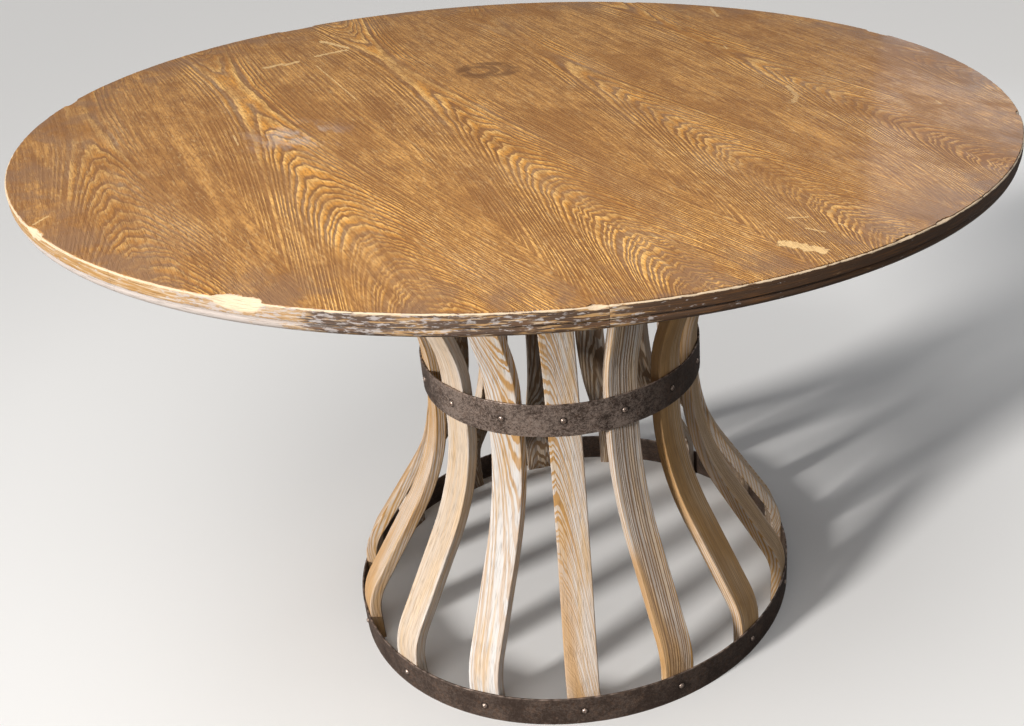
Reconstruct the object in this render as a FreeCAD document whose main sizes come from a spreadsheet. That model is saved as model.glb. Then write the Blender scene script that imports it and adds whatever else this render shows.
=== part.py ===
import FreeCAD, Part
import math
import os
import re
import Sketcher

doc = FreeCAD.newDocument("BarrelTable")

# Driving dimensions, in millimetres, degrees, shares and counts
DRIVING = (
    ("table_height", 762),
    ("top_diameter", 1219),
    ("leaf_thickness", 1),
    ("leaf_count", 6),
    ("leaf_setback", 1.5),
    ("leaf_waste", 20),
    ("grain_turn", 24),
    ("core_thickness", 23),
    ("backing_thickness", 1),
    ("rim_width", 40),
    ("rim_count", 8),
    ("rim_joint_turn", 5.7),
    ("rim_edge_round", 1.5),
    ("bead_height", 9),
    ("bead_undercut", 5),
    ("bead_radius", 5.6),
    ("quirk_height", 1.5),
    ("quirk_depth", 3),
    ("tongue_thickness", 6),
    ("tongue_depth", 8),
    ("glue_gap", 0.1),
    ("stave_count", 15),
    ("stave_width", 44),
    ("stave_thickness", 16),
    ("stave_edge_round", 1.5),
    ("hoop_thickness", 2.5),
    ("hoop_gap", 0.1),
    ("hoop_reveal", 1),
    ("base_hoop_diameter", 660),
    ("base_hoop_height", 45),
    ("waist_hoop_diameter", 395),
    ("waist_hoop_height", 48),
    ("waist_height", 401),
    ("lower_slant_ratio", 1.475),
    ("foot_bend_share", 0.22),
    ("head_flare", 82),
    ("head_reveal", 12),
    ("upper_slant_ratio", 1.2),
    ("head_bend_share", 0.31),
    ("disc_thickness", 25),
    ("shank_diameter", 4),
    ("pan_diameter", 8),
    ("pan_height", 2.6),
    ("recess_reach", 4.4),
    ("recess_width", 1.2),
    ("recess_depth", 1.6),
    ("point_length", 3),
    ("hole_gap", 0.1),
    ("drill_allowance", 1),
    ("hoop_screw_length", 15),
    ("head_screw_bite", 24),
    ("top_screw_bite", 14),
    ("top_screw_count", 8),
    ("top_screw_inset", 60),
)

# Sizes worked out in the sheet from the driving ones
DERIVED = (
    ("top_radius", "top_diameter / 2"),
    ("leaf_radius", "top_radius - leaf_setback"),
    ("leaf_width", "2 * leaf_radius / leaf_count"),
    ("leaf_bottom", "table_height - leaf_thickness"),
    ("core_bottom", "leaf_bottom - core_thickness"),
    ("top_bottom", "core_bottom - backing_thickness"),
    ("rim_inner_radius", "top_radius - rim_width"),
    ("core_radius", "rim_inner_radius - glue_gap"),
    ("tongue_bottom", "core_bottom + (core_thickness - tongue_thickness) / 2"),
    ("tongue_top", "tongue_bottom + tongue_thickness"),
    ("bead_top", "top_bottom + bead_height"),
    ("band_bottom", "bead_top + quirk_height"),
    ("base_hoop_radius", "base_hoop_diameter / 2"),
    ("waist_hoop_radius", "waist_hoop_diameter / 2"),
    ("base_inner_radius", "base_hoop_radius - hoop_thickness"),
    ("waist_inner_radius", "waist_hoop_radius - hoop_thickness"),
    ("waist_hoop_bottom", "waist_height - waist_hoop_height / 2"),
    ("waist_hoop_top", "waist_height + waist_hoop_height / 2"),
    ("foot_face", "sqrt((base_inner_radius - hoop_gap) ^ 2 - (stave_width / 2) ^ 2)"),
    ("waist_face", "sqrt((waist_inner_radius - hoop_gap) ^ 2 - (stave_width / 2) ^ 2)"),
    ("foot_top", "base_hoop_height + hoop_reveal"),
    ("waist_low", "waist_hoop_bottom - hoop_reveal"),
    ("waist_high", "waist_hoop_top + hoop_reveal"),
    ("disc_bottom", "top_bottom - disc_thickness"),
    ("head_bottom", "disc_bottom - head_reveal"),
    ("head_face_radius", "waist_face + head_flare"),
    ("lower_run", "foot_face - waist_face"),
    ("lower_rise", "waist_low - foot_top"),
    ("lower_slant", "lower_slant_ratio * atan(lower_run / lower_rise)"),
    ("lower_bends",
     "(lower_rise * sin(lower_slant) - lower_run * cos(lower_slant)) / (1 - cos(lower_slant))"),
    ("foot_bend", "stave_thickness + foot_bend_share * (lower_bends - stave_thickness)"),
    ("lower_waist_bend", "lower_bends - foot_bend"),
    ("upper_run", "head_face_radius - waist_face"),
    ("upper_rise", "head_bottom - waist_high"),
    ("upper_slant", "upper_slant_ratio * atan(upper_run / upper_rise)"),
    ("upper_bends",
     "(upper_rise * sin(upper_slant) - upper_run * cos(upper_slant)) / (1 - cos(upper_slant))"),
    ("head_bend", "stave_thickness + head_bend_share * (upper_bends - stave_thickness)"),
    ("upper_waist_bend", "upper_bends - head_bend"),
    ("disc_flat_radius", "head_face_radius - stave_thickness"),
    ("head_screw_height", "disc_bottom + disc_thickness / 2"),
    ("hole_diameter", "shank_diameter + 2 * hole_gap"),
    ("pan_radius", "(pan_height ^ 2 + (pan_diameter / 2) ^ 2) / (2 * pan_height)"),
    ("head_screw_length", "stave_thickness + head_screw_bite"),
    ("top_screw_length", "disc_thickness + backing_thickness + top_screw_bite"),
    ("top_screw_circle_radius", "disc_flat_radius - top_screw_inset"),
    ("hoop_hole_depth", "hoop_screw_length + drill_allowance"),
    ("head_hole_depth", "head_screw_length + drill_allowance"),
    ("top_hole_depth", "top_screw_length + drill_allowance"),
    ("stave_step", "360 / stave_count"),
)

SAME_SPOT = 1e-4

sheet = doc.addObject("Spreadsheet::Sheet", "Sizes")


def fill_sheet():
    """Write every size beside its name, and give its cell that name as an alias."""
    rows = [(name, str(value)) for name, value in DRIVING]
    rows += [(name, "=" + formula) for name, formula in DERIVED]
    for row, (name, text) in enumerate(rows, start=1):
        cell = f"B{row}"
        sheet.set(f"A{row}", name)
        sheet.set(cell, text)
        sheet.setAlias(cell, name)
    doc.recompute()


fill_sheet()
SIZE_NAMES = {name for name, _ in DRIVING + DERIVED}


def bound(formula):
    """Point each size name in a formula at the sheet."""
    return re.sub("[a-z_]+", lambda word: "Sizes." * (word[0] in SIZE_NAMES) + word[0], formula)


def value(formula):
    """Give the number that a formula has now."""
    result = sheet.evalExpression(bound(formula))
    return float(getattr(result, "Value", result))


def bind(target, prop, formula):
    """Tie one property of an object to the sheet."""
    target.setExpression(prop, bound(formula))


def new_body(label):
    body = doc.addObject("PartDesign::Body", label)
    body.Label = label
    return body


def plane(body, role):
    return next(item for item in body.Origin.OriginFeatures if item.Role == role)


def new_sketch(body, name, role="XZ_Plane", offset=None):
    """Start a sketch on one of the body's own planes, moved along the plane's normal by a formula."""
    sketch = body.newObject("Sketcher::SketchObject", name)
    sketch.AttachmentSupport = [(plane(body, role), "")]
    sketch.MapMode = "FlatFace"
    if offset:
        bind(sketch, "AttachmentOffset.Base.z", offset)
    return sketch


def pin(sketch, index, end, across, up):
    """Hold one end of a line at a place given by two formulas."""
    for kind, formula, axis in (("DistanceX", across, -2), ("DistanceY", up, -1)):
        if formula == "0":
            sketch.addConstraint(Sketcher.Constraint("PointOnObject", index, end, axis))
            continue
        row = sketch.addConstraint(Sketcher.Constraint(kind, -1, 1, index, end, value(formula)))
        bind(sketch, f"Constraints[{row}]", formula)


def arc_between(start, end, radius, turn):
    """Make the shorter arc from start to end that turns left for a turn of 1 and right for -1."""
    chord = end - start
    half = chord.Length / 2
    left = FreeCAD.Vector(-chord.y, chord.x, 0).normalize()
    centre = start + chord * 0.5 + left * (turn * math.sqrt(max(radius ** 2 - half ** 2, 0)))
    return Part.Arc(start, centre - left * (turn * radius), end)


def outline(sketch, corners):
    """Draw a closed outline; a corner is (across, up), or (across, up, radius, turn) for an arc to it."""
    spots = [FreeCAD.Vector(value(corner[0]), value(corner[1]), 0) for corner in corners]
    ends = []
    for number, corner in enumerate(corners):
        start, end = spots[number - 1], spots[number]
        if len(corner) == 2:
            index = sketch.addGeometry(Part.LineSegment(start, end))
            ends.append((index, 1, 2))
            continue
        radius, turn = corner[2:]
        index = sketch.addGeometry(arc_between(start, end, value(radius), turn))
        ends.append((index, 1, 2) if turn > 0 else (index, 2, 1))
        row = sketch.addConstraint(Sketcher.Constraint("Radius", index, value(radius)))
        bind(sketch, f"Constraints[{row}]", radius)
    for number, (index, first, last) in enumerate(ends):
        before = ends[number - 1]
        sketch.addConstraint(Sketcher.Constraint("Coincident", before[0], before[2], index, first))
        pin(sketch, index, last, corners[number][0], corners[number][1])


def circle(sketch, across, up, diameter):
    """Draw one circle whose middle and diameter follow formulas."""
    middle = FreeCAD.Vector(value(across), value(up), 0)
    index = sketch.addGeometry(Part.Circle(middle, FreeCAD.Vector(0, 0, 1), value(diameter) / 2))
    pin(sketch, index, 3, across, up)
    row = sketch.addConstraint(Sketcher.Constraint("Diameter", index, value(diameter)))
    bind(sketch, f"Constraints[{row}]", diameter)


def rectangle(left, right, bottom, top):
    return [(left, bottom), (right, bottom), (right, top), (left, top)]


def pad(body, sketch, length, both_ways=False):
    feature = body.newObject("PartDesign::Pad", sketch.Name + "_pad")
    feature.Profile = sketch
    feature.Midplane = both_ways
    bind(feature, "Length", length)
    return feature


def pocket(body, sketch, depth, reversed_way=False):
    feature = body.newObject("PartDesign::Pocket", sketch.Name + "_pocket")
    feature.Profile = sketch
    feature.Reversed = reversed_way
    bind(feature, "Length", depth)
    return feature


def turned(body, sketch, kind="PartDesign::Revolution", angle="360", axis="V_Axis"):
    feature = body.newObject(kind, sketch.Name + "_turned")
    feature.Profile = sketch
    feature.ReferenceAxis = (sketch, [axis])
    bind(feature, "Angle", angle)
    return feature


def round_the_axis(body, features, count):
    """Repeat features evenly about the table's axis."""
    pattern = body.newObject("PartDesign::PolarPattern", features[0].Name + "_ring")
    pattern.Originals = features
    pattern.Axis = (plane(body, "Z_Axis"), [""])
    pattern.Angle = 360
    bind(pattern, "Occurrences", count)
    body.Tip = pattern


def radial_hole(body, name, reach, height, depth):
    """Drill inward along the body's X axis from a radius, at a height."""
    sketch = new_sketch(body, name, "YZ_Plane", reach)
    circle(sketch, "0", height, "hole_diameter")
    return pocket(body, sketch, depth)


def face_the_front(body, turn="0"):
    """Turn a body so that its X axis points to the front, and then on round the table."""
    bind(body, "Placement", f"placement(vector(0; 0; 0); rotation(vector(0; 0; 1); {turn} - 90))")


# Table top
def make_core():
    body = new_body("top_core")
    blank = new_sketch(body, "core_blank")
    outline(blank, rectangle("0", "core_radius", "core_bottom", "leaf_bottom"))
    turned(body, blank)
    slot = new_sketch(body, "core_slot")
    outline(slot, rectangle("core_radius - tongue_depth", "top_radius",
                            "tongue_bottom - glue_gap", "tongue_top + glue_gap"))
    turned(body, slot, "PartDesign::Groove")
    top_screw_holes(body)
    face_the_front(body)
    return body


def top_screw_holes(body):
    """Drill the ring of upright holes that the mounting disc's screws go up through."""
    sketch = new_sketch(body, body.Name + "_screw_hole", "XY_Plane", "disc_bottom")
    circle(sketch, "top_screw_circle_radius", "0", "hole_diameter")
    hole = pocket(body, sketch, "top_hole_depth", reversed_way=True)
    round_the_axis(body, [hole], "top_screw_count")


def make_backing():
    body = new_body("backing_veneer")
    sketch = new_sketch(body, "backing_sheet")
    outline(sketch, rectangle("0", "core_radius", "top_bottom", "core_bottom"))
    turned(body, sketch)
    top_screw_holes(body)
    face_the_front(body)
    return body


def make_leaf(number, count):
    """Cut one strip of veneer, with waste outside the round of the top, to that round."""
    label = f"veneer_leaf_{number}"
    first, last = int(number == 1), int(number == count)
    strip = doc.addObject("Part::Box", label + "_strip")
    bind(strip, "Length", f"leaf_width + leaf_waste * {first + last}")
    bind(strip, "Width", "2 * (leaf_radius + leaf_waste)")
    bind(strip, "Height", "leaf_thickness")
    bind(strip, "Placement.Base.x", f"leaf_width * {number - 1} - leaf_radius - leaf_waste * {first}")
    bind(strip, "Placement.Base.y", "0 - leaf_radius - leaf_waste")
    disc = doc.addObject("Part::Cylinder", label + "_disc")
    bind(disc, "Radius", "leaf_radius")
    bind(disc, "Height", "leaf_thickness")
    leaf = doc.addObject("Part::Common", label)
    leaf.Base = strip
    leaf.Tool = disc
    leaf.Label = label
    bind(leaf, "Placement", "placement(vector(0; 0; leaf_bottom); rotation(vector(0; 0; 1); grain_turn))")
    return leaf


def make_rim_segment(number):
    """Turn one length of the moulded rim, with a tongue for the core's slot."""
    body = new_body(f"rim_segment_{number}")
    sketch = new_sketch(body, f"rim_profile_{number}")
    outline(sketch, [
        ("rim_inner_radius", "top_bottom"),
        ("top_radius - bead_undercut", "top_bottom"),
        ("top_radius - quirk_depth", "bead_top", "bead_radius", 1),
        ("top_radius - quirk_depth", "band_bottom"),
        ("top_radius", "band_bottom"),
        ("top_radius", "leaf_bottom - rim_edge_round"),
        ("top_radius - rim_edge_round", "leaf_bottom", "rim_edge_round", 1),
        ("rim_inner_radius", "leaf_bottom"),
        ("rim_inner_radius", "tongue_top"),
        ("rim_inner_radius - tongue_depth", "tongue_top"),
        ("rim_inner_radius - tongue_depth", "tongue_bottom"),
        ("rim_inner_radius", "tongue_bottom"),
    ])
    turned(body, sketch, angle="360 / rim_count")
    face_the_front(body, f"rim_joint_turn + {number - 1} * 360 / rim_count")
    return body


# Staves
def stave_face(inset):
    """List the corners of one face of a stave from the floor up, set in from the outer face."""
    return [
        (f"foot_face - {inset}", "0"),
        (f"foot_face - {inset}", "foot_top"),
        (f"foot_face - foot_bend + (foot_bend - {inset}) * cos(lower_slant)",
         f"foot_top + (foot_bend - {inset}) * sin(lower_slant)", f"foot_bend - {inset}", 1),
        (f"waist_face + lower_waist_bend - (lower_waist_bend + {inset}) * cos(lower_slant)",
         f"waist_low - (lower_waist_bend + {inset}) * sin(lower_slant)"),
        (f"waist_face - {inset}", "waist_low", f"lower_waist_bend + {inset}", -1),
        (f"waist_face - {inset}", "waist_high"),
        (f"waist_face + upper_waist_bend - (upper_waist_bend + {inset}) * cos(upper_slant)",
         f"waist_high + (upper_waist_bend + {inset}) * sin(upper_slant)", f"upper_waist_bend + {inset}", -1),
        (f"head_face_radius - head_bend + (head_bend - {inset}) * cos(upper_slant)",
         f"head_bottom - (head_bend - {inset}) * sin(upper_slant)"),
        (f"head_face_radius - {inset}", "head_bottom", f"head_bend - {inset}", 1),
        (f"head_face_radius - {inset}", "top_bottom"),
    ]


def backwards(corners):
    """Give the same corners from last to first, so that each arc turns the other way."""
    result = []
    for number in range(len(corners) - 1, -1, -1):
        after = corners[number + 1] if number + 1 < len(corners) else ()
        arc = (after[2], -after[3]) if len(after) == 4 else ()
        result.append(corners[number][:2] + arc)
    return result


def long_edges(shape):
    """Name the edges that run up both sides of a stave."""
    side = value("stave_width") / 2
    foot, head = 0, value("top_bottom")
    names = []
    for number, edge in enumerate(shape.Edges, start=1):
        spots = [vertex.Point for vertex in edge.Vertexes]
        on_side = all(abs(abs(spot.y) - side) < SAME_SPOT for spot in spots)
        along = spots[0].y * spots[-1].y > 0 and len(spots) == 2
        across_end = any(all(abs(spot.z - end) < SAME_SPOT for spot in spots) for end in (foot, head))
        if on_side and along and not across_end:
            names.append(f"Edge{number}")
    return names


def make_stave(number):
    """Bend one stave from the floor to the top, ease its long edges and drill it for its three screws."""
    body = new_body(f"stave_{number:02d}")
    sketch = new_sketch(body, f"stave_profile_{number:02d}")
    outline(sketch, stave_face("0") + backwards(stave_face("stave_thickness")))
    bent = pad(body, sketch, "stave_width", both_ways=True)
    doc.recompute()
    eased = body.newObject("PartDesign::Fillet", f"stave_easing_{number:02d}")
    eased.Base = (bent, long_edges(bent.Shape))
    bind(eased, "Radius", "stave_edge_round")
    doc.recompute()
    radial_hole(body, f"foot_hole_{number:02d}", "base_hoop_radius", "base_hoop_height / 2",
                "hoop_hole_depth")
    radial_hole(body, f"waist_hole_{number:02d}", "waist_hoop_radius", "waist_height", "hoop_hole_depth")
    radial_hole(body, f"head_hole_{number:02d}", "head_face_radius", "head_screw_height", "head_hole_depth")
    face_the_front(body, f"stave_step * {number - 1}")
    return body


# Hoops
def make_hoop(label, radius, inner_radius, bottom, top, screw_height):
    """Roll one steel hoop and drill it for a screw at every stave."""
    body = new_body(label)
    sketch = new_sketch(body, label + "_strip")
    outline(sketch, rectangle(inner_radius, radius, bottom, top))
    turned(body, sketch)
    hole = radial_hole(body, label + "_hole", radius, screw_height, "hoop_hole_depth")
    round_the_axis(body, [hole], "stave_count")
    face_the_front(body)
    return body


# Mounting disc
def make_disc():
    """Cut the many-sided disc, one flat for each stave's head."""
    body = new_body("mounting_disc")
    blank = body.newObject("PartDesign::AdditivePrism", "disc_blank")
    bind(blank, "Polygon", "stave_count")
    bind(blank, "Circumradius", "disc_flat_radius / cos(stave_step / 2)")
    bind(blank, "Height", "disc_thickness")
    bind(blank, "Placement",
         "placement(vector(0; 0; disc_bottom); rotation(vector(0; 0; 1); stave_step / 2))")
    doc.recompute()
    edge_hole = radial_hole(body, "disc_edge_hole", "head_face_radius", "head_screw_height",
                            "head_hole_depth")
    round_the_axis(body, [edge_hole], "stave_count")
    top_screw_holes(body)
    face_the_front(body)
    return body


# Screws
def cross(middle_up):
    """List the corners of a cross recess about a height."""
    near, far = "recess_width / 2", "recess_reach / 2"
    quarter = [(far, near), (near, near), (near, far)]
    corners = []
    for turn in range(4):
        for across, up in quarter:
            corners.append(quarter_turn(across, up, turn, middle_up))
    return corners


def quarter_turn(across, up, turn, middle_up):
    """Turn one corner of the cross by quarter turns, and lift it to the cross's middle."""
    turns = [(across, up), (f"0 - {up}", across), (f"0 - {across}", f"0 - {up}"), (up, f"0 - {across}")]
    signed = turns[turn]
    return signed[0], f"{middle_up} + {signed[1]}"


def make_hoop_screws(label, seat, height, length):
    """Make a ring of radial screws whose pan heads bear on a face at the seat radius."""
    body = new_body(label)
    body.AllowCompound = True
    sketch = new_sketch(body, label + "_profile")
    bind(sketch, "AttachmentOffset.Base.y", height)
    outline(sketch, [
        (f"{seat} + pan_height", "0"),
        (seat, "pan_diameter / 2", "pan_radius", 1),
        (seat, "shank_diameter / 2"),
        (f"{seat} - {length} + point_length", "shank_diameter / 2"),
        (f"{seat} - {length}", "0"),
    ])
    screw = turned(body, sketch, axis="H_Axis")
    recess = new_sketch(body, label + "_recess", "YZ_Plane", f"{seat} + pan_height")
    outline(recess, cross(height))
    driven = pocket(body, recess, "recess_depth")
    doc.recompute()
    round_the_axis(body, [screw, driven], "stave_count")
    face_the_front(body)
    return body


def make_top_screws():
    """Make the ring of upright screws that go up through the mounting disc into the core."""
    body = new_body("top_screws")
    body.AllowCompound = True
    sketch = new_sketch(body, "top_screw_profile")
    bind(sketch, "AttachmentOffset.Base.x", "top_screw_circle_radius")
    outline(sketch, [
        ("0", "disc_bottom - pan_height"),
        ("pan_diameter / 2", "disc_bottom", "pan_radius", 1),
        ("shank_diameter / 2", "disc_bottom"),
        ("shank_diameter / 2", "disc_bottom + top_screw_length - point_length"),
        ("0", "disc_bottom + top_screw_length"),
    ])
    screw = turned(body, sketch)
    recess = new_sketch(body, "top_screw_recess", "XY_Plane", "disc_bottom - pan_height")
    bind(recess, "AttachmentOffset.Base.x", "top_screw_circle_radius")
    outline(recess, cross("0"))
    driven = pocket(body, recess, "recess_depth", reversed_way=True)
    doc.recompute()
    round_the_axis(body, [screw, driven], "top_screw_count")
    face_the_front(body)
    return body


# Whole table
leaf_count = int(value("leaf_count"))
made = [make_core(), make_backing(), make_disc()]
made += [make_leaf(number, leaf_count) for number in range(1, leaf_count + 1)]
made += [make_rim_segment(number) for number in range(1, int(value("rim_count")) + 1)]
made += [make_stave(number) for number in range(1, int(value("stave_count")) + 1)]
made += [
    make_hoop("base_hoop", "base_hoop_radius", "base_inner_radius", "0", "base_hoop_height",
              "base_hoop_height / 2"),
    make_hoop("waist_hoop", "waist_hoop_radius", "waist_inner_radius", "waist_hoop_bottom", "waist_hoop_top",
              "waist_height"),
    make_hoop_screws("base_hoop_screws", "base_hoop_radius", "base_hoop_height / 2", "hoop_screw_length"),
    make_hoop_screws("waist_hoop_screws", "waist_hoop_radius", "waist_height", "hoop_screw_length"),
    make_hoop_screws("stave_head_screws", "head_face_radius", "head_screw_height", "head_screw_length"),
    make_top_screws(),
]
doc.recompute()

# Soundness, then one file for each piece
for item in doc.Objects:
    if "Invalid" in item.State or "Error" in item.State:
        raise RuntimeError(f"{item.Label} failed: {item.State}")
for piece in made:
    if piece.Shape.isNull() or not piece.Shape.isValid():
        raise RuntimeError(f"{piece.Label} has no sound shape")

os.makedirs("parts", exist_ok=True)
for piece in made:
    piece.Shape.exportStep(f"parts/{piece.Label}.step")
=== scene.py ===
"""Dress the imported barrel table: veneered top, moulded rim, limed staves, old steel hoops and screws."""

import math
import random
from collections import namedtuple

import bmesh
import bpy
from bpy.props import FloatProperty, FloatVectorProperty, IntProperty, PointerProperty
from mathutils import Matrix, Vector, noise


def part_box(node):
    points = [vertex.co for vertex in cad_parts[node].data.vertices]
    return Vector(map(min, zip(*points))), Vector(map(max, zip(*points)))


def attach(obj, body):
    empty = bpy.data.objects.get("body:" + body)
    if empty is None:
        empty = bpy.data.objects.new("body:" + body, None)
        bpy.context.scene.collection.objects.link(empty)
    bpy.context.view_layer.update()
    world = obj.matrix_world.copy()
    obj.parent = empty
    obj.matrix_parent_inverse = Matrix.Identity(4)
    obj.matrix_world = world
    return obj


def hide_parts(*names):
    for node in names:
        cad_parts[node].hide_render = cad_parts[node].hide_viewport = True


bl_info = {
    "name": "Barrel Table Looks",
    "version": (1, 0, 0),
    "blender": (4, 5, 0),
    "location": "View3D > Sidebar > Barrel Table",
    "description": "Builds the finished pieces of a barrel dining table round its packed model",
    "category": "Add Mesh",
}

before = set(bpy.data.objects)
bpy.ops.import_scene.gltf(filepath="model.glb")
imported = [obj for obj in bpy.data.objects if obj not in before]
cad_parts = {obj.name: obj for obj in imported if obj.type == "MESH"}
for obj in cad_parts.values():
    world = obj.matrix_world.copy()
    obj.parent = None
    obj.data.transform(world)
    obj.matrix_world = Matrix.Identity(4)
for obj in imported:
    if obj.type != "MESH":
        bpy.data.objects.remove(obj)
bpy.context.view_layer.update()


def span_of(prefix):
    """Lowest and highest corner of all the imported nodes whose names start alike."""
    boxes = [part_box(name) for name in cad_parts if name.startswith(prefix)]
    low = Vector([min(box[0][axis] for box in boxes) for axis in range(3)])
    high = Vector([max(box[1][axis] for box in boxes) for axis in range(3)])
    return low, high


def count_of(prefix):
    """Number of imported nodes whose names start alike."""
    return sum(name.startswith(prefix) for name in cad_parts)


MM = 0.001
FULL_TURN = 2 * math.pi

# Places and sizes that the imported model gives
RIM_LOW, RIM_HIGH = span_of("rim_segment")
LEAF_LOW, LEAF_HIGH = span_of("veneer_leaf")
BASE_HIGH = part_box("base_hoop")[1]
WAIST_LOW, WAIST_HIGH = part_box("waist_hoop")
DISC_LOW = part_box("mounting_disc")[0]
LEAF_COUNT = count_of("veneer_leaf")
RIM_COUNT = count_of("rim_segment")
STAVE_COUNT = count_of("stave_") - count_of("stave_head")


# Settings that a user would change
def length(name, description, default):
    """A setting in metres."""
    return FloatProperty(name=name, description=description, default=default, unit="LENGTH", precision=4)


def share(name, description, default):
    """A setting that is a plain number."""
    return FloatProperty(name=name, description=description, default=default)


def angle(name, description, degrees):
    """A setting that is a turn, its default given in degrees."""
    return FloatProperty(name=name, description=description, default=math.radians(degrees), subtype="ANGLE")


def colour(name, description, default):
    """A setting that is a colour."""
    return FloatVectorProperty(name=name, description=description, default=default, subtype="COLOR",
                               min=0, max=1)


class BARREL_PG_top(bpy.types.PropertyGroup):
    """Sizes and colours of the veneer leaves, the moulded rim and the boards under them."""
    grain_turn: angle("Grain turn", "Turn of the veneer's grain from front to back", 24)
    leaf_easing: length("Leaf easing", "Worn roundness of each leaf's upper edges", 0.12 * MM)
    ring_width: length("Ring width", "Width of one year's growth in the veneer", 5.2 * MM)
    gold: colour("Gold", "Bright edges of the late wood", (0.96, 0.57, 0.185))
    amber: colour("Amber", "Late wood in the crowns", (0.68, 0.31, 0.055))
    tan: colour("Tan", "Plain wood between the crowns", (0.525, 0.268, 0.080))
    brown: colour("Brown", "Early wood that took the stain", (0.225, 0.098, 0.031))
    grey: colour("Grey", "Early wood bleached along the crown", (0.33, 0.215, 0.125))
    soak: colour("Soaked wood", "Dark water stains", (0.165, 0.075, 0.026))
    grime: colour("Grime", "Wood gone dull along the edge", (0.23, 0.125, 0.066))
    scuff: colour("Scuffed wood", "Wood in scrapes on the top", (0.72, 0.485, 0.225))
    bare: colour("Bare wood", "Wood in chips along the edge", (0.62, 0.485, 0.335))
    rim_width: length("Rim width", "Depth of the rim from its face to the core", 40 * MM)
    rim_joint_turn: angle("Rim joint", "Turn of the first joint of the rim from the front", 5.7)
    edge_round: length("Edge round", "Round of the rim's upper edge", 1.5 * MM)
    bead_height: length("Bead height", "Height of the bead along the lower edge", 9 * MM)
    bead_undercut: length("Bead undercut", "How far the bead's foot stands back", 5 * MM)
    bead_radius: length("Bead radius", "Radius of the bead's round", 5.6 * MM)
    quirk_height: length("Quirk height", "Height of the groove over the bead", 1.5 * MM)
    quirk_depth: length("Quirk depth", "Depth of the groove over the bead", 3 * MM)
    rim_stain: colour("Rim stain", "Dark stain on the rim", (0.078, 0.044, 0.026))
    rim_amber: colour("Rim amber", "Rim wood where the stain has thinned", (0.42, 0.228, 0.076))
    rim_bloom: colour("Rim bloom", "Dried-out finish on the rim", (0.53, 0.49, 0.475))
    core_tone: colour("Core plywood", "Plywood of the core", (0.55, 0.37, 0.20))
    backing_tone: colour("Backing veneer", "Sealed sheet under the core", (0.30, 0.17, 0.085))
    disc_tone: colour("Disc plywood", "Plywood of the mounting disc", (0.50, 0.33, 0.18))


class BARREL_PG_staves(bpy.types.PropertyGroup):
    """Sizes and colours of the bent staves."""
    width: length("Width", "Width of a stave", 44 * MM)
    thickness: length("Thickness", "Thickness of a stave", 16 * MM)
    easing: length("Easing", "Round of a stave's long edges", 1.5 * MM)
    hoop_gap: length("Hoop gap", "Room between a stave's edges and its hoop", 0.1 * MM)
    hoop_reveal: length("Hoop reveal", "Straight length of a stave past its hoop", 1 * MM)
    lower_slant_ratio: share("Lower slant", "Slant of the lower run against a straight line", 1.475)
    foot_bend_share: share("Foot bend", "Share of the lower bends that the foot takes", 0.22)
    head_flare: length("Head flare", "How far the head stands out from the waist", 82 * MM)
    head_reveal: length("Head reveal", "Straight length of a stave under the mounting disc", 12 * MM)
    upper_slant_ratio: share("Upper slant", "Slant of the upper run against a straight line", 1.2)
    head_bend_share: share("Head bend", "Share of the upper bends that the head takes", 0.31)
    ring_width: length("Ring width", "Width of one year's growth in the staves", 4.4 * MM)
    cream: colour("Cream", "Pale wood between the grain lines", (0.67, 0.505, 0.335))
    gold: colour("Gold", "Golden grain lines", (0.50, 0.265, 0.078))
    # Lime also whitens the stave edges, partly as a painted highlight; umber also darkens the inner faces,
    # partly as painted shade
    lime: colour("Lime", "White wax left in the grain", (0.68, 0.65, 0.625))
    umber: colour("Umber", "Grime and old stain", (0.145, 0.085, 0.050))


class BARREL_PG_steel(bpy.types.PropertyGroup):
    """Sizes and colours of the hoops and screws."""
    hoop_thickness: length("Hoop thickness", "Thickness of the hoop strip", 2.5 * MM)
    hoop_easing: length("Hoop easing", "Worn roundness of the hoop's edges", 0.6 * MM)
    pan_diameter: length("Pan diameter", "Diameter of a screw's head", 8 * MM)
    pan_height: length("Pan height", "Height of a screw's head", 2.6 * MM)
    shank_diameter: length("Shank diameter", "Diameter of a screw's shank", 4 * MM)
    hoop_screw_length: length("Hoop screw length", "Length of a hoop screw's shank", 15 * MM)
    head_screw_length: length("Head screw length", "Length of a stave head screw's shank", 40 * MM)
    top_screw_count: IntProperty(name="Top screws", description="Screws up into the core", default=8)
    recess_reach: length("Recess reach", "Reach of the cross recess from arm to arm", 4.4 * MM)
    recess_width: length("Recess width", "Width of one arm of the cross recess", 1.2 * MM)
    recess_depth: length("Recess depth", "Depth of the cross recess", 1.6 * MM)
    scale_brown: colour("Scale", "Brown-black scale on the steel", (0.052, 0.034, 0.026))
    bare_grey: colour("Bare steel", "Steel rubbed bare", (0.53, 0.415, 0.35))
    rust: colour("Rust", "Rust bloom", (0.095, 0.052, 0.032))


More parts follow.
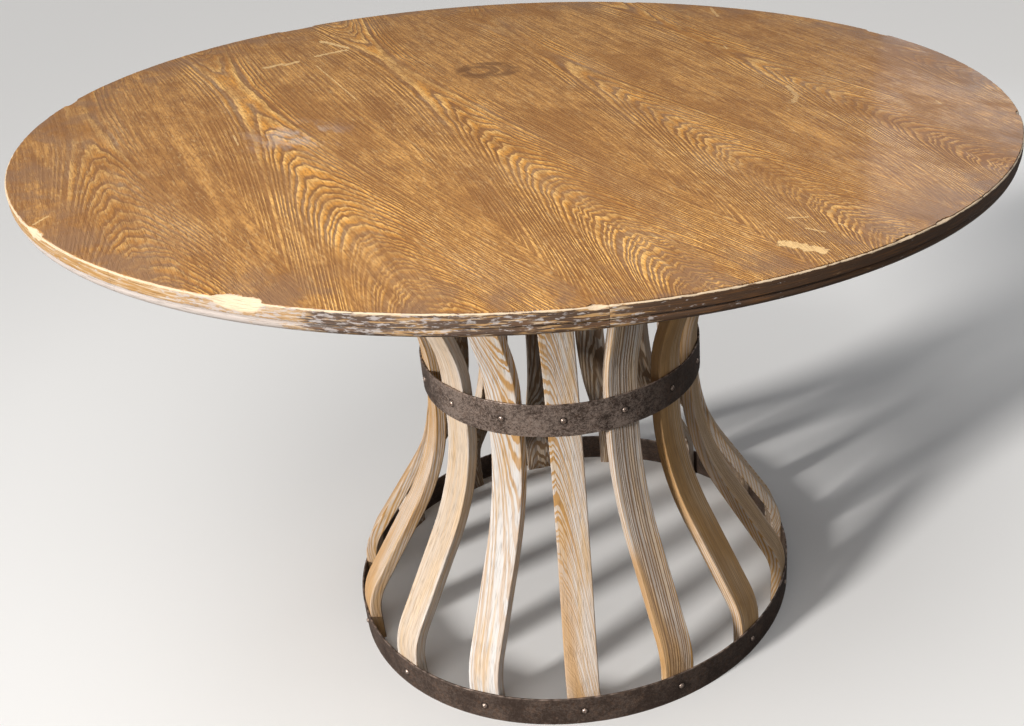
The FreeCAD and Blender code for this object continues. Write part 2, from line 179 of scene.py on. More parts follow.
class BARREL_PG_stage(bpy.types.PropertyGroup):
    """Camera, floor and lights."""
    camera_place: FloatVectorProperty(name="Camera place", description="Where the camera stands",
                                      default=(0.0450, -1.5169, 1.2033), subtype="TRANSLATION", unit="LENGTH")
    heading: angle("Heading", "Turn of the camera to the right of straight ahead", 7.99)
    pitch: angle("Pitch", "Tilt of the camera below level", 28.866)
    focal_length: FloatProperty(name="Focal length", description="Focal length in millimetres", default=41.5)
    shift: share("Shift", "Sideways shift of the picture", -0.2227)
    floor_radius: length("Floor radius", "Radius of the floor", 40.0)
    floor_colour: colour("Floor", "Colour of the floor", (0.86, 0.86, 0.86))
    key_turn: angle("Key turn", "Turn of the main light from the front, to the left", 56)
    key_rise: angle("Key rise", "Height of the main light above level", 21)
    floor_bounce: share("Floor bounce", "Share of the floor's colour that lights the table", 0.17)
    key_strength: share("Key strength", "Strength of the main light", 4.0)
    soft_strength: share("Soft strength", "Power of the large light overhead, in watts", 34.0)
    sheen_strength: share("Sheen strength", "Power of the light that the top mirrors, in watts", 3.4)
    back_strength: share("Back strength", "Strength of each of the two lights behind", 0.28)
    side_strength: share("Side strength", "Strength of the light on the right", 0.22)
    backdrop: share("Backdrop", "Brightness of what shows past the floor", 0.85)
    sky_strength: share("Sky strength", "Strength of the light from all round", 0.15)


class BARREL_PG_table(bpy.types.PropertyGroup):
    """All the settings of the table."""
    top: PointerProperty(type=BARREL_PG_top)
    staves: PointerProperty(type=BARREL_PG_staves)
    steel: PointerProperty(type=BARREL_PG_steel)
    stage: PointerProperty(type=BARREL_PG_stage)


# Node helpers
NODE_STEP = Vector((190, -230))
NODES_IN_ROW = 9


def paint(value):
    """A setting's colour with full cover."""
    return (*value, 1.0)


def titled(name):
    """A name in this file as Blender shows it."""
    return name.replace("_", " ").title()


class Wiring:
    """Adds nodes to one tree and joins them."""

    def __init__(self, tree):
        self.tree = tree

    def put(self, socket, value):
        """Link a socket to an input, or set the input to a number, a vector or a colour."""
        if isinstance(value, bpy.types.NodeSocket):
            self.tree.links.new(value, socket)
        else:
            socket.default_value = value

    def node(self, kind, values=(), **settings):
        """Add a node, with values for its first inputs."""
        node = self.tree.nodes.new("ShaderNode" + kind)
        row, column = divmod(len(self.tree.nodes), NODES_IN_ROW)
        node.location = (column * NODE_STEP.x, row * NODE_STEP.y)
        for name, setting in settings.items():
            setattr(node, name, setting)
        for socket, value in zip(node.inputs, values):
            self.put(socket, value)
        return node

    def math(self, operation, *values, clamp=False):
        return self.node("Math", values, operation=operation, use_clamp=clamp).outputs[0]

    def add(self, *values):
        total = values[0]
        for value in values[1:]:
            total = self.math("ADD", total, value)
        return total

    def times(self, *values):
        total = values[0]
        for value in values[1:]:
            total = self.math("MULTIPLY", total, value)
        return total

    def minus(self, first, second):
        return self.math("SUBTRACT", first, second)

    def vector(self, operation, *values):
        node = self.node("VectorMath", values, operation=operation)
        return node.outputs["Value" if operation in ("LENGTH", "DOT_PRODUCT") else "Vector"]

    def split(self, vector):
        return self.node("SeparateXYZ", [vector]).outputs

    def join(self, *values):
        return self.node("CombineXYZ", values).outputs[0]

    def noise(self, vector, stretch=(1, 1, 1), detail=2.0, roughness=0.5):
        """Cloudy noise, near 0.5, whose grain per metre is given for each axis."""
        node = self.node("TexNoise")
        self.put(node.inputs["Vector"], self.vector("MULTIPLY", vector, stretch))
        node.inputs["Scale"].default_value = 1.0
        node.inputs["Detail"].default_value = detail
        node.inputs["Roughness"].default_value = roughness
        return node.outputs[0]

    def swing(self, *values, **settings):
        """The same noise, swinging about nought."""
        return self.minus(self.noise(*values, **settings), 0.5)

    def ease(self, value, low, high, start=0.0, end=1.0):
        """Go smoothly from start to end while the value goes from low to high."""
        settings = [value, low, high, start, end]
        return self.node("MapRange", settings, interpolation_type="SMOOTHSTEP").outputs[0]

    def blend(self, cover, first, second, way="MIX"):
        """Cover one colour with another."""
        node = self.node("Mix", data_type="RGBA", blend_type=way)
        for index, value in zip((0, 6, 7), (cover, first, second)):
            self.put(node.inputs[index], value)
        return node.outputs[2]

    def attribute(self, name):
        return self.node("Attribute", attribute_name=name).outputs["Vector"]

    def place(self):
        return self.node("TexCoord").outputs["Object"]

    def group(self, builder, **values):
        """Place a shared effect, built once, and give its inputs values by their names."""
        name = titled(builder.__name__)
        tree = bpy.data.node_groups.get(name) or builder(name)
        node = self.node("Group", node_tree=tree)
        for key, value in values.items():
            self.put(node.inputs[titled(key)], value)
        return node.outputs


def new_group(name, inputs, outputs):
    """Start a shared effect; each input is a name and a kind, and each output is a value."""
    tree = bpy.data.node_groups.new(name, "ShaderNodeTree")
    for label, kind in inputs:
        tree.interface.new_socket(label, in_out="INPUT", socket_type="NodeSocket" + kind)
    for label in outputs:
        tree.interface.new_socket(label, in_out="OUTPUT", socket_type="NodeSocketFloat")
    entry = tree.nodes.new("NodeGroupInput").outputs
    leaving = tree.nodes.new("NodeGroupOutput").inputs
    return Wiring(tree), entry, leaving


# Shared effects
def grown_rings(name):
    """Yearly rings cut by a board, in crowns that open out both ways from a crest."""
    inputs = (("Board", "Vector"), ("Pith", "Vector"), ("Ring Width", "Float"), ("Taper", "Float"),
              ("Spread", "Float"), ("Zigzag", "Float"), ("Wander", "Float"), ("Fineness", "Float"))
    wiring, entry, leaving = new_group(name, inputs, ("Late", "Edge", "Crown"))
    board, wander = entry["Board"], entry["Wander"]
    across, depth, along = wiring.split(board)
    axis, tip, crest = wiring.split(entry["Pith"])
    slow = wiring.swing(board, (5, 5, 2.2), detail=1)
    adrift = wiring.add(wiring.minus(across, axis), wiring.times(wander, 0.5, slow))
    aside = wiring.times(adrift, entry["Spread"])
    off_axis = wiring.math("ABSOLUTE", aside)
    jag = wiring.times(2.4, wiring.swing(board, (80, 80, 4), detail=2))
    tooth = wiring.times(0.4, wiring.swing(board, (330, 330, 34), detail=1))
    unrest = wiring.times(entry["Zigzag"], wiring.ease(off_axis, 0.012, 0.055, 1.0, 0.15))
    jagged = wiring.times(unrest, wiring.add(jag, tooth))
    from_crest = wiring.minus(wiring.add(along, jagged), crest)
    square = wiring.times(from_crest, from_crest)
    flatter = wiring.ease(off_axis, 0.02, 0.10, 1.0, 0.62)
    steeper = wiring.times(flatter, wiring.add(1.0, wiring.times(square, 0.44)))
    fall = wiring.times(entry["Taper"], square, steeper)
    bow = wiring.math("SQRT", wiring.add(wiring.times(aside, aside), wiring.times(tip, tip)))
    ripple = wiring.times(unrest, 0.62, wiring.swing(board, (64, 64, 15), detail=2))
    radius = wiring.add(wiring.minus(wiring.add(bow, depth), fall), wiring.times(wander, slow), ripple)
    uneven = wiring.swing(wiring.join(radius, 0.0, 0.0), (55, 1, 1), detail=1)
    rings = wiring.add(wiring.math("DIVIDE", radius, entry["Ring Width"]), wiring.times(3.2, uneven))
    ring = wiring.math("FRACT", rings)
    thinner = wiring.math("MAXIMUM", wiring.ease(square, 0.12, 0.5, 0.0, 0.75), entry["Fineness"])
    flank = wiring.math("MAXIMUM", wiring.ease(off_axis, 0.005, 0.06), thinner)
    opens_from = wiring.add(0.12, wiring.times(flank, 0.33))
    opens_to = wiring.add(0.40, wiring.times(flank, 0.22))
    opening = wiring.ease(ring, opens_from, opens_to)
    closing = wiring.ease(ring, 0.90, 1.0, 1.0, 0.0)
    wiring.put(leaving["Late"], wiring.times(opening, closing))
    wiring.put(leaving["Edge"], wiring.times(wiring.ease(ring, 0.5, 0.88), closing))
    reach = wiring.add(0.026, wiring.times(square, 0.06))
    wiring.put(leaving["Crown"], wiring.ease(wiring.math("DIVIDE", off_axis, reach), 0.8, 2.5, 1.0, 0.0))
    return wiring.tree


def wood_fibre(name):
    """Fine streaks, wider bands and short open pores along a board."""
    wiring, entry, leaving = new_group(name, (("Board", "Vector"),), ("Streak", "Band", "Pores"))
    board = entry["Board"]
    wiring.put(leaving["Streak"], wiring.noise(board, (420, 420, 9), detail=3, roughness=0.6))
    wiring.put(leaving["Band"], wiring.noise(board, (150, 150, 7), detail=3, roughness=0.65))
    wiring.put(leaving["Pores"], wiring.ease(wiring.noise(board, (1150, 1150, 45), detail=1), 0.56, 0.72))
    return wiring.tree


def worn_through(name):
    """Ragged patches where a finish has gone, from how worn each spot is."""
    inputs = (("Place", "Vector"), ("Wear", "Float"), ("Grain", "Float"))
    wiring, entry, leaving = new_group(name, inputs, ("Mask",))
    spot = wiring.vector("SCALE", entry["Place"])
    wiring.put(spot.node.inputs["Scale"], entry["Grain"])
    coarse = wiring.swing(spot, detail=4, roughness=0.65)
    mask = wiring.ease(wiring.add(entry["Wear"], wiring.times(coarse, 1.5)), 0.47, 0.60)
    wiring.put(leaving["Mask"], mask)
    return wiring.tree


def scrape(name):
    """A ragged mark from one spot of the top to another."""
    inputs = (("Place", "Vector"), ("Start", "Vector"), ("End", "Vector"), ("Width", "Float"))
    wiring, entry, leaving = new_group(name, inputs, ("Mask",))
    to_spot = wiring.vector("SUBTRACT", entry["Place"], entry["Start"])
    to_end = wiring.vector("SUBTRACT", entry["End"], entry["Start"])
    along = wiring.math("DIVIDE", wiring.vector("DOT_PRODUCT", to_spot, to_end),
                        wiring.vector("DOT_PRODUCT", to_end, to_end), clamp=True)
    nearest = wiring.vector("SCALE", to_end)
    wiring.put(nearest.node.inputs["Scale"], along)
    distance = wiring.vector("LENGTH", wiring.vector("SUBTRACT", to_spot, nearest))
    ragged = wiring.noise(entry["Place"], (130, 130, 130), detail=4, roughness=0.6)
    half = wiring.times(entry["Width"], wiring.ease(ragged, 0.28, 0.66, 0.3, 1.25))
    wiring.put(leaving["Mask"], wiring.ease(wiring.math("DIVIDE", distance, half), 0.75, 1.0, 1.0, 0.0))
    return wiring.tree


def cup_ring(name):
    """The dark ring that a wet cup leaves."""
    inputs = (("Place", "Vector"), ("Middle", "Vector"), ("Radius", "Float"), ("Width", "Float"))
    wiring, entry, leaving = new_group(name, inputs, ("Mask",))
    reach = wiring.vector("LENGTH", wiring.vector("SUBTRACT", entry["Place"], entry["Middle"]))
    cloud = wiring.noise(entry["Place"], (38, 38, 38), detail=2)
    off = wiring.math("ABSOLUTE", wiring.minus(reach, entry["Radius"]))
    band = wiring.ease(wiring.math("DIVIDE", off, entry["Width"]), 0.45, 1.1, 1.0, 0.0)
    wiring.put(leaving["Mask"], wiring.times(band, wiring.ease(cloud, 0.22, 0.50)))
    return wiring.tree


def old_steel(name):
    """Rubbed patches, rust bloom and a hammered skin on dark steel."""
    wiring, entry, leaving = new_group(name, (("Place", "Vector"),), ("Rubbed", "Rust", "Skin"))
    place = entry["Place"]
    cloud = wiring.noise(place, (24, 24, 24), detail=3, roughness=0.6)
    patch = wiring.noise(place, (230, 230, 260), detail=6, roughness=0.78)
    speck = wiring.noise(place, (620, 620, 620), detail=3, roughness=0.7)
    pit = wiring.noise(place, (170, 170, 170), detail=3, roughness=0.65)
    mixed = wiring.add(wiring.times(patch, 0.7), wiring.times(cloud, 0.4), wiring.times(speck, 0.4))
    wiring.put(leaving["Rubbed"], wiring.ease(mixed, 0.64, 0.92))
    wiring.put(leaving["Rust"], wiring.ease(wiring.add(pit, wiring.times(cloud, 0.6)), 0.76, 1.0))
    wiring.put(leaving["Skin"], wiring.add(wiring.times(pit, 0.7), wiring.times(speck, 0.3)))
    return wiring.tree


# Materials
def new_material(name, specular=0.5):
    """A material, the helper for its nodes and the inputs of its shader."""
    material = bpy.data.materials.new(name)
    material.use_nodes = True
    shader = material.node_tree.nodes["Principled BSDF"].inputs
    shader["Specular IOR Level"].default_value = specular
    return material, Wiring(material.node_tree), shader


def finish_surface(wiring, shader, colour_of, roughness, height, depth):
    """Join a colour, a roughness and a relief of a given depth to a material's shader."""
    bump = wiring.node("Bump")
    bump.inputs["Strength"].default_value = 1.0
    bump.inputs["Distance"].default_value = depth
    wiring.put(bump.inputs["Height"], height)
    wiring.put(shader["Base Color"], colour_of)
    wiring.put(shader["Roughness"], roughness)
    wiring.put(shader["Normal"], bump.outputs["Normal"])


Mark = namedtuple("Mark", "start end width cover")
CupRing = namedtuple("CupRing", "middle radius width")
# Scrapes on the top and then cup rings, as places across and along the grain from its middle
SCRAPES = (
    Mark((-0.155, 0.478), (-0.132, 0.418), 5.5 * MM, 0.9),
    Mark((-0.185, 0.394), (-0.140, 0.406), 5.5 * MM, 0.8),
    Mark((-0.262, 0.366), (-0.240, 0.374), 5.5 * MM, 0.8),
    Mark((-0.236, 0.368), (-0.216, 0.376), 5.5 * MM, 0.8),
    Mark((-0.199, 0.340), (-0.199, 0.140), 1.2 * MM, 0.75),
    Mark((-0.194, -0.010), (-0.195, -0.170), 0.9 * MM, 0.30),
    Mark((-0.366, 0.070), (-0.369, 0.030), 1.3 * MM, 0.6),
    Mark((0.312, -0.105), (0.296, -0.150), 4.5 * MM, 0.45),
    Mark((0.274, -0.172), (0.296, -0.150), 5.0 * MM, 0.45),
    Mark((0.354, 0.130), (0.348, 0.112), 1.6 * MM, 0.6),
    Mark((0.470, 0.365), (0.448, 0.305), 3.4 * MM, 0.5),
    Mark((0.009, -0.548), (0.028, -0.580), 9.0 * MM, 0.95),
    Mark((0.048, -0.497), (0.066, -0.505), 1.6 * MM, 0.8),
    Mark((0.047, -0.527), (0.058, -0.546), 1.4 * MM, 0.8),
    Mark((0.082, -0.535), (0.084, -0.545), 1.6 * MM, 0.8),
    Mark((-0.592, -0.118), (-0.578, -0.100), 1.6 * MM, 0.7),
    Mark((0.438, -0.262), (0.434, -0.275), 1.6 * MM, 0.7),
)
CUP_RINGS = (CupRing((0.000, 0.188), 35 * MM, 12 * MM), CupRing((-0.012, 0.190), 21 * MM, 9 * MM))
# Where the top has bloomed white, and how far round
BLOOM_MIDDLE = (-0.305, 0.030, 0.0)
BLOOM_REACH = 0.085
# How far in from the edge the top has gone dull
GRIME_REACH = 0.11
COAT_ROUGHNESS = 0.13


def crowned_wood(wiring, top, board, rings, fibre):
    """Gold crowns on plain brown wood, and how strong their figure is."""
    clear = wiring.times(wiring.ease(wiring.noise(board, (12, 12, 3.4), detail=3), 0.32, 0.56, 0.35, 1.0),
                         wiring.ease(wiring.noise(board, (70, 70, 16), detail=3), 0.34, 0.56, 0.5, 1.0))
    in_crown = wiring.ease(rings["Crown"], 0.0, 1.0, 0.40, 1.0)
    figure = wiring.times(rings["Late"], clear, wiring.attribute("gilt"), in_crown)
    bleached = wiring.ease(wiring.noise(board, (16, 16, 6), detail=2), 0.42, 0.62, 0.0, 0.85)
    early = wiring.blend(wiring.times(rings["Crown"], bleached), paint(top.brown), paint(top.grey))
    mottle = wiring.noise(board, (46, 46, 17), detail=5, roughness=0.65)
    drab = wiring.add(wiring.times(fibre["Band"], 0.6), wiring.times(mottle, 0.6))
    plain_wood = wiring.blend(wiring.ease(drab, 0.46, 0.74, 0.0, 0.9), paint(top.tan), paint(top.brown))
    ground = wiring.blend(wiring.times(rings["Crown"], clear), plain_wood, early)
    gilding = wiring.blend(rings["Edge"], paint(top.amber), paint(top.gold))
    return wiring.blend(figure, ground, gilding), figure


def marked_top(wiring, top, board, wood):
    """Wood with cup rings, a dull edge and a white bloom, and how bare the scrapes have left it."""
    places = wiring.split(board)
    spot = wiring.join(places["X"], places["Z"], 0.0)
    for cup in CUP_RINGS:
        ring = wiring.group(cup_ring, place=spot, middle=(*cup.middle, 0), radius=cup.radius, width=cup.width)
        wood = wiring.blend(wiring.times(ring["Mask"], 0.75), wood, paint(top.soak))
    near_edge = wiring.ease(wiring.vector("LENGTH", spot), LEAF_HIGH.x - GRIME_REACH, LEAF_HIGH.x)
    smear = wiring.ease(wiring.noise(board, (20, 20, 14), detail=5, roughness=0.68), 0.42, 0.60, 0.0, 0.85)
    dulled = wiring.blend(wiring.times(near_edge, smear), wood, paint(top.grime))
    from_bloom = wiring.vector("LENGTH", wiring.vector("SUBTRACT", spot, BLOOM_MIDDLE))
    cloud = wiring.noise(board, (45, 45, 22), detail=4, roughness=0.65)
    bloom = wiring.times(wiring.ease(from_bloom, 0.0, BLOOM_REACH, 0.42, 0.0), wiring.ease(cloud, 0.45, 0.62))
    clouded = wiring.blend(bloom, dulled, paint(top.rim_bloom))
    bared = 0.0
    for mark in SCRAPES:
        mask = wiring.group(scrape, place=spot, start=(*mark.start, 0), end=(*mark.end, 0), width=mark.width)
        bared = wiring.math("MAXIMUM", bared, wiring.times(mask["Mask"], mark.cover))
    return clouded, bared


def veneer_material(top):
    """Stained crown-cut veneer, worn by use."""
    material, wiring, shader = new_material("stained_veneer", specular=0.20)
    board = wiring.attribute("board")
    rings = wiring.group(grown_rings, board=board, pith=wiring.attribute("pith"), ring_width=top.ring_width,
                         taper=0.2, spread=1.0, zigzag=12 * MM, wander=16 * MM, fineness=0.0)
    fibre = wiring.group(wood_fibre, board=board)
    wood, figure = crowned_wood(wiring, top, board, rings, fibre)
    streaked = wiring.blend(wiring.ease(fibre["Streak"], 0.44, 0.66, 0.0, 0.55), wood, paint(top.brown))
    pored = wiring.blend(wiring.times(fibre["Pores"], 0.5), streaked, paint(top.soak))
    pale = wiring.ease(wiring.noise(board, (360, 360, 60), detail=3, roughness=0.6), 0.54, 0.72, 0.0, 0.36)
    grit = wiring.noise(board, (460, 460, 120), detail=3, roughness=0.65)
    gritty = wiring.blend(wiring.ease(grit, 0.50, 0.63, 0.0, 0.6), pored, paint(top.brown))
    flecked = wiring.blend(pale, gritty, paint(top.scuff))
    stain = wiring.ease(wiring.noise(board, (10, 10, 5), detail=8, roughness=0.72), 0.45, 0.62)
    worn = wiring.blend(wiring.times(stain, 0.62), flecked, paint(top.brown))
    clouded, bared = marked_top(wiring, top, board, worn)
    flaked = wiring.times(bared, wiring.ease(grit, 0.42, 0.62, 1.0, 0.70))
    rubbed = wiring.blend(flaked, clouded, paint(top.scuff))
    roughness = wiring.ease(wiring.add(wiring.times(stain, 0.5), fibre["Streak"]), 0.3, 1.1, 0.42, 0.60)
    grain = wiring.add(wiring.times(figure, 1.7), wiring.times(grit, 0.8))
    raised = wiring.times(grain, wiring.minus(1.0, bared))
    relief = wiring.minus(raised, wiring.add(wiring.times(fibre["Pores"], 0.6), wiring.times(bared, 0.8)))
    shader["Coat Roughness"].default_value = COAT_ROUGHNESS
    wiring.put(shader["Coat Weight"], wiring.ease(stain, 0.0, 1.0, 0.30, 0.16))
    finish_surface(wiring, shader, rubbed, roughness, relief, depth=0.3 * MM)
    return material


def rim_material(top):
    """Dark-stained moulding, rubbed through to bare wood."""
    material, wiring, shader = new_material("worn_rim", specular=0.30)
    board = wiring.attribute("board")
    wear, bloom, edge = wiring.split(wiring.attribute("wear"))
    fibre = wiring.group(wood_fibre, board=board)
    grain = wiring.noise(board, (520, 520, 24), detail=3, roughness=0.6)
    amber = wiring.blend(wiring.ease(grain, 0.44, 0.70), paint(top.rim_amber), paint(top.bare))
    deep = wiring.blend(wiring.ease(grain, 0.45, 0.75, 0.0, 0.6), paint(top.rim_stain), paint(top.brown))
    streaks = wiring.vector("MULTIPLY", board, (1.0, 1.0, 0.09))
    patches = wiring.vector("MULTIPLY", board, (1.0, 1.0, 0.30))
    gone = wiring.group(worn_through, place=streaks, wear=wear, grain=330.0)["Mask"]
    edge_gone = wiring.group(worn_through, place=patches, wear=edge, grain=300.0)["Mask"]
    dried = wiring.group(worn_through, place=patches, wear=bloom, grain=330.0)["Mask"]
    worn = wiring.blend(gone, deep, amber)
    filmed = wiring.blend(wiring.ease(bloom, 0.3, 0.9, 0.0, 0.45), worn, paint(top.rim_bloom))
    bloomed = wiring.blend(wiring.times(dried, 0.70), filmed, paint(top.rim_bloom))
    edged = wiring.blend(wiring.times(edge_gone, 0.92), bloomed, paint(top.bare))
    pored = wiring.blend(wiring.times(fibre["Pores"], 0.30), edged, paint(top.rim_stain))
    roughness = wiring.ease(wiring.add(gone, dried), 0.0, 1.0, 0.42, 0.70)
    relief = wiring.minus(wiring.times(grain, 0.4), wiring.add(wiring.times(gone, 0.7), fibre["Pores"]))
    finish_surface(wiring, shader, pored, roughness, relief, depth=0.2 * MM)
    return material


def stave_material(staves):
    """Bent wood, limed and rubbed back; edges whitened partly as painted highlight, inner faces darkened
    partly as painted shade.
    """
    material, wiring, shader = new_material("limed_stave", specular=0.30)
    board = wiring.attribute("board")
    # lime includes the edges' painted highlight, and umber the inner faces' painted shade
    gold, lime, umber = wiring.split(wiring.attribute("finish"))
    taper, ring_width = wiring.split(wiring.attribute("growth"))[:2]
    rings = wiring.group(grown_rings, board=board, pith=wiring.attribute("pith"), ring_width=ring_width,
                         taper=taper, spread=1.5, zigzag=16 * MM, wander=26 * MM, fineness=0.8)
    fibre = wiring.group(wood_fibre, board=board)
    patch = wiring.noise(board, (40, 40, 6), detail=4, roughness=0.6)
    cloud = wiring.add(wiring.times(patch, 0.7), wiring.times(fibre["Band"], 0.5))
    wax_and_highlight = wiring.times(wiring.ease(cloud, 0.47, 0.64, 0.15, 1.0), lime)
    ground = wiring.blend(wax_and_highlight, paint(staves.cream), paint(staves.lime))
    clear = wiring.times(wiring.ease(wiring.noise(board, (34, 34, 7), detail=3), 0.34, 0.56, 0.7, 1.0),
                         wiring.ease(wiring.noise(board, (9, 9, 3.4), detail=1), 0.40, 0.56, 0.75, 1.0))
    lines = wiring.times(rings["Late"], gold, clear)
    gilding = wiring.ease(wiring.noise(board, (24, 24, 4), detail=4), 0.40, 0.58, 0.15, 0.80)
    broad = wiring.times(wiring.ease(gold, 0.93, 1.0), gilding)
    gilt = wiring.math("MAXIMUM", lines, broad)
    wood = wiring.blend(gilt, ground, paint(staves.gold))
    streaked = wiring.blend(wiring.ease(fibre["Streak"], 0.45, 0.72, 0.0, 0.40), wood, paint(staves.gold))
    banded = wiring.times(wiring.ease(fibre["Band"], 0.40, 0.58), umber)
    inked = wiring.times(rings["Late"], wiring.ease(umber, 0.26, 0.44, 0.0, 0.72))
    lined = wiring.math("MAXIMUM", banded, inked)
    smear = wiring.ease(wiring.noise(board, (22, 22, 9), detail=4, roughness=0.62), 0.46, 0.72)
    grime = wiring.times(smear, umber)
    stained_and_shaded = wiring.blend(wiring.math("MAXIMUM", lined, grime), streaked, paint(staves.umber))
    pored = wiring.blend(wiring.times(fibre["Pores"], 0.35), stained_and_shaded, paint(staves.umber))
    roughness = wiring.ease(fibre["Streak"], 0.3, 0.7, 0.55, 0.72)
    relief = wiring.minus(wiring.add(wiring.times(rings["Late"], 0.6), wiring.times(fibre["Streak"], 0.5)),
                          fibre["Pores"])
    finish_surface(wiring, shader, pored, roughness, relief, depth=0.28 * MM)
    return material


# Share of the scale's colour left in the painted shade round a screw's head
SCREW_SHADE_SHARE = 0.25


def steel_material(steel, name, shine, polish):
    """Old dark steel, rubbed brighter partly by handling and partly as a painted highlight, with painted
    shade round screws.
    """
    material, wiring, shader = new_material(name, specular=0.30)
    skin = wiring.group(old_steel, place=wiring.place())
    # wear holds the rubbed edges, painted shade round each screw's head, and a lighter front that is partly a
    # painted highlight
    edge, shade, hand_and_light = wiring.split(wiring.attribute("wear"))
    rusted = wiring.blend(wiring.times(skin["Rust"], 0.75), paint(steel.scale_brown), paint(steel.rust))
    # rubbed bare steel, on the waist hoop's front partly by handling and partly as a painted highlight
    handled_and_lit = wiring.add(wiring.times(skin["Rubbed"], wiring.add(hand_and_light, shine)), polish)
    rubbed = wiring.math("MAXIMUM", handled_and_lit, edge, clamp=True)
    metal = wiring.blend(rubbed, rusted, paint(steel.bare_grey))
    # painted shade: the steel is darkened round each screw's head
    screw_shaded = wiring.blend(shade, metal, paint([value * SCREW_SHADE_SHARE for value in steel.scale_brown]))
    roughness = wiring.ease(wiring.minus(skin["Skin"], wiring.times(rubbed, 0.4)), 0.0, 0.75, 0.28, 0.56)
    wiring.put(shader["Metallic"], wiring.ease(rubbed, 0.0, 1.0, 0.30, 0.72))
    finish_surface(wiring, shader, screw_shaded, roughness, skin["Skin"], depth=0.6 * MM)
    return material


PLY_THICKNESS = 1.9 * MM


def plywood_material(top, name, tone):
    """Plywood through and through: thin sheets whose grain crosses from each to the next."""
    material, wiring, shader = new_material(name)
    x, y, z = wiring.split(wiring.place())
    layer = wiring.math("DIVIDE", z, PLY_THICKNESS)
    crossed = wiring.math("GREATER_THAN", wiring.math("FRACT", wiring.times(layer, 0.5)), 0.5)
    straight = wiring.minus(1.0, crossed)
    across = wiring.add(wiring.times(x, straight), wiring.times(y, crossed))
    along = wiring.add(wiring.times(y, straight), wiring.times(x, crossed))
    board = wiring.join(across, z, along)
    rings = wiring.group(grown_rings, board=board, pith=(0.04, 0.21, 0.12), ring_width=7 * MM, taper=0.25,
                         spread=0.8, zigzag=8 * MM, wander=60 * MM, fineness=0.3)
    fibre = wiring.group(wood_fibre, board=board)
    wood = wiring.blend(wiring.times(rings["Late"], 0.45), paint(tone), paint(top.gold))
    streaked = wiring.blend(wiring.ease(fibre["Streak"], 0.40, 0.72, 0.0, 0.5), wood, paint(top.brown))
    glue = wiring.ease(wiring.math("PINGPONG", layer, 0.5), 0.0, 0.09, 0.55, 0.0)
    dusk = wiring.ease(wiring.noise(wiring.place(), (5, 5, 5), detail=4), 0.35, 0.75, 0.0, 0.35)
    glued = wiring.blend(wiring.math("MAXIMUM", glue, dusk), streaked, paint(top.brown))
    roughness = wiring.ease(fibre["Streak"], 0.3, 0.7, 0.6, 0.78)
    relief = wiring.minus(fibre["Streak"], fibre["Pores"])
    finish_surface(wiring, shader, glued, roughness, relief, depth=0.2 * MM)
    return material


# Mesh helpers
UP = Vector((0, 0, 1))
SHARP_ANGLE = math.radians(38)


def facing(turn):
    """The way out from the table's axis at a turn from the front towards the right."""
    return Vector((math.sin(turn), -math.cos(turn), 0))


def beside(turn):
    """The level way to the right of one who faces the axis at a turn."""
    return Vector((math.cos(turn), math.sin(turn), 0))


def place_at(turn, radius, height):
    """The place at a turn, a radius from the axis and a height."""
    return facing(turn) * radius + UP * height


def stepped(start, end, steps):
    """Points after start along a straight line to end, in equal steps."""
    start, end = Vector(start), Vector(end)
    return [start.lerp(end, step / steps) for step in range(1, steps + 1)]


def arc(start, end, radius, steps):
    """Points after start along the arc to end that bulges to the right of the way there."""
    start, end = Vector(start), Vector(end)
    chord = end - start
    left = Vector((-chord.y, chord.x)).normalized()
    middle = (start + end) / 2 + left * math.sqrt(max(radius ** 2 - (chord.length / 2) ** 2, 0))
    first = math.atan2(start.y - middle.y, start.x - middle.x)
    last = math.atan2(end.y - middle.y, end.x - middle.x)
    sweep = (last - first) % FULL_TURN
    turns = [first + sweep * step / steps for step in range(1, steps + 1)]
    return [middle + radius * Vector((math.cos(turn), math.sin(turn))) for turn in turns]


def traced(start, walk):
    """An outline from start to each end of a walk in turn, by an arc where the walk gives a radius."""
    outline = [Vector(start)]
    for end, radius, steps in walk:
        if radius:
            outline += arc(outline[-1], end, radius, steps)
        else:
            outline += stepped(outline[-1], end, steps)
    return outline


def skin_faces(rings, size, closed):
    """Faces that join rings of points, with caps at both ends unless the rings close on themselves."""
    faces = []
    for ring in range(rings if closed else rings - 1):
        here, there = ring * size, (ring + 1) % rings * size
        for spot in range(size):
            beyond = (spot + 1) % size
            faces.append((here + spot, there + spot, there + beyond, here + beyond))
    if not closed:
        faces.append(tuple(range(size)))
        faces.append(tuple(range((rings - 1) * size, rings * size)))
    return faces


def note_points(mesh, **values):
    """Give every point of a mesh its named vectors."""
    for label, vectors in values.items():
        layer = mesh.attributes.new(label, "FLOAT_VECTOR", "POINT")
        layer.data.foreach_set("vector", [number for vector in vectors for number in vector])


def smooth_mesh(mesh):
    """Shade a mesh smooth, apart from its sharp edges."""
    mesh.shade_smooth()
    mesh.set_sharp_from_angle(angle=SHARP_ANGLE)


def new_mesh(name, points, faces, **values):
    """Make a smooth-shaded mesh whose points carry named vectors."""
    mesh = bpy.data.meshes.new(name)
    mesh.from_pydata(points, [], faces)
    note_points(mesh, **values)
    shape = bmesh.new()
    shape.from_mesh(mesh)
    bmesh.ops.recalc_face_normals(shape, faces=shape.faces)
    shape.to_mesh(mesh)
    shape.free()
    smooth_mesh(mesh)
    return mesh


def new_piece(name, mesh, material, slot, *nodes):
    """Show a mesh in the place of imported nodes."""
    piece = bpy.data.objects.new(name, mesh)
    bpy.context.scene.collection.objects.link(piece)
    mesh.materials.append(material)
    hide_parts(*nodes)
    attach(piece, "root")


def rough(*values):
    """Smooth noise about nought at a spot given by one to three numbers."""
    return noise.noise(Vector((*values, 0.0, 0.0)[:3]))


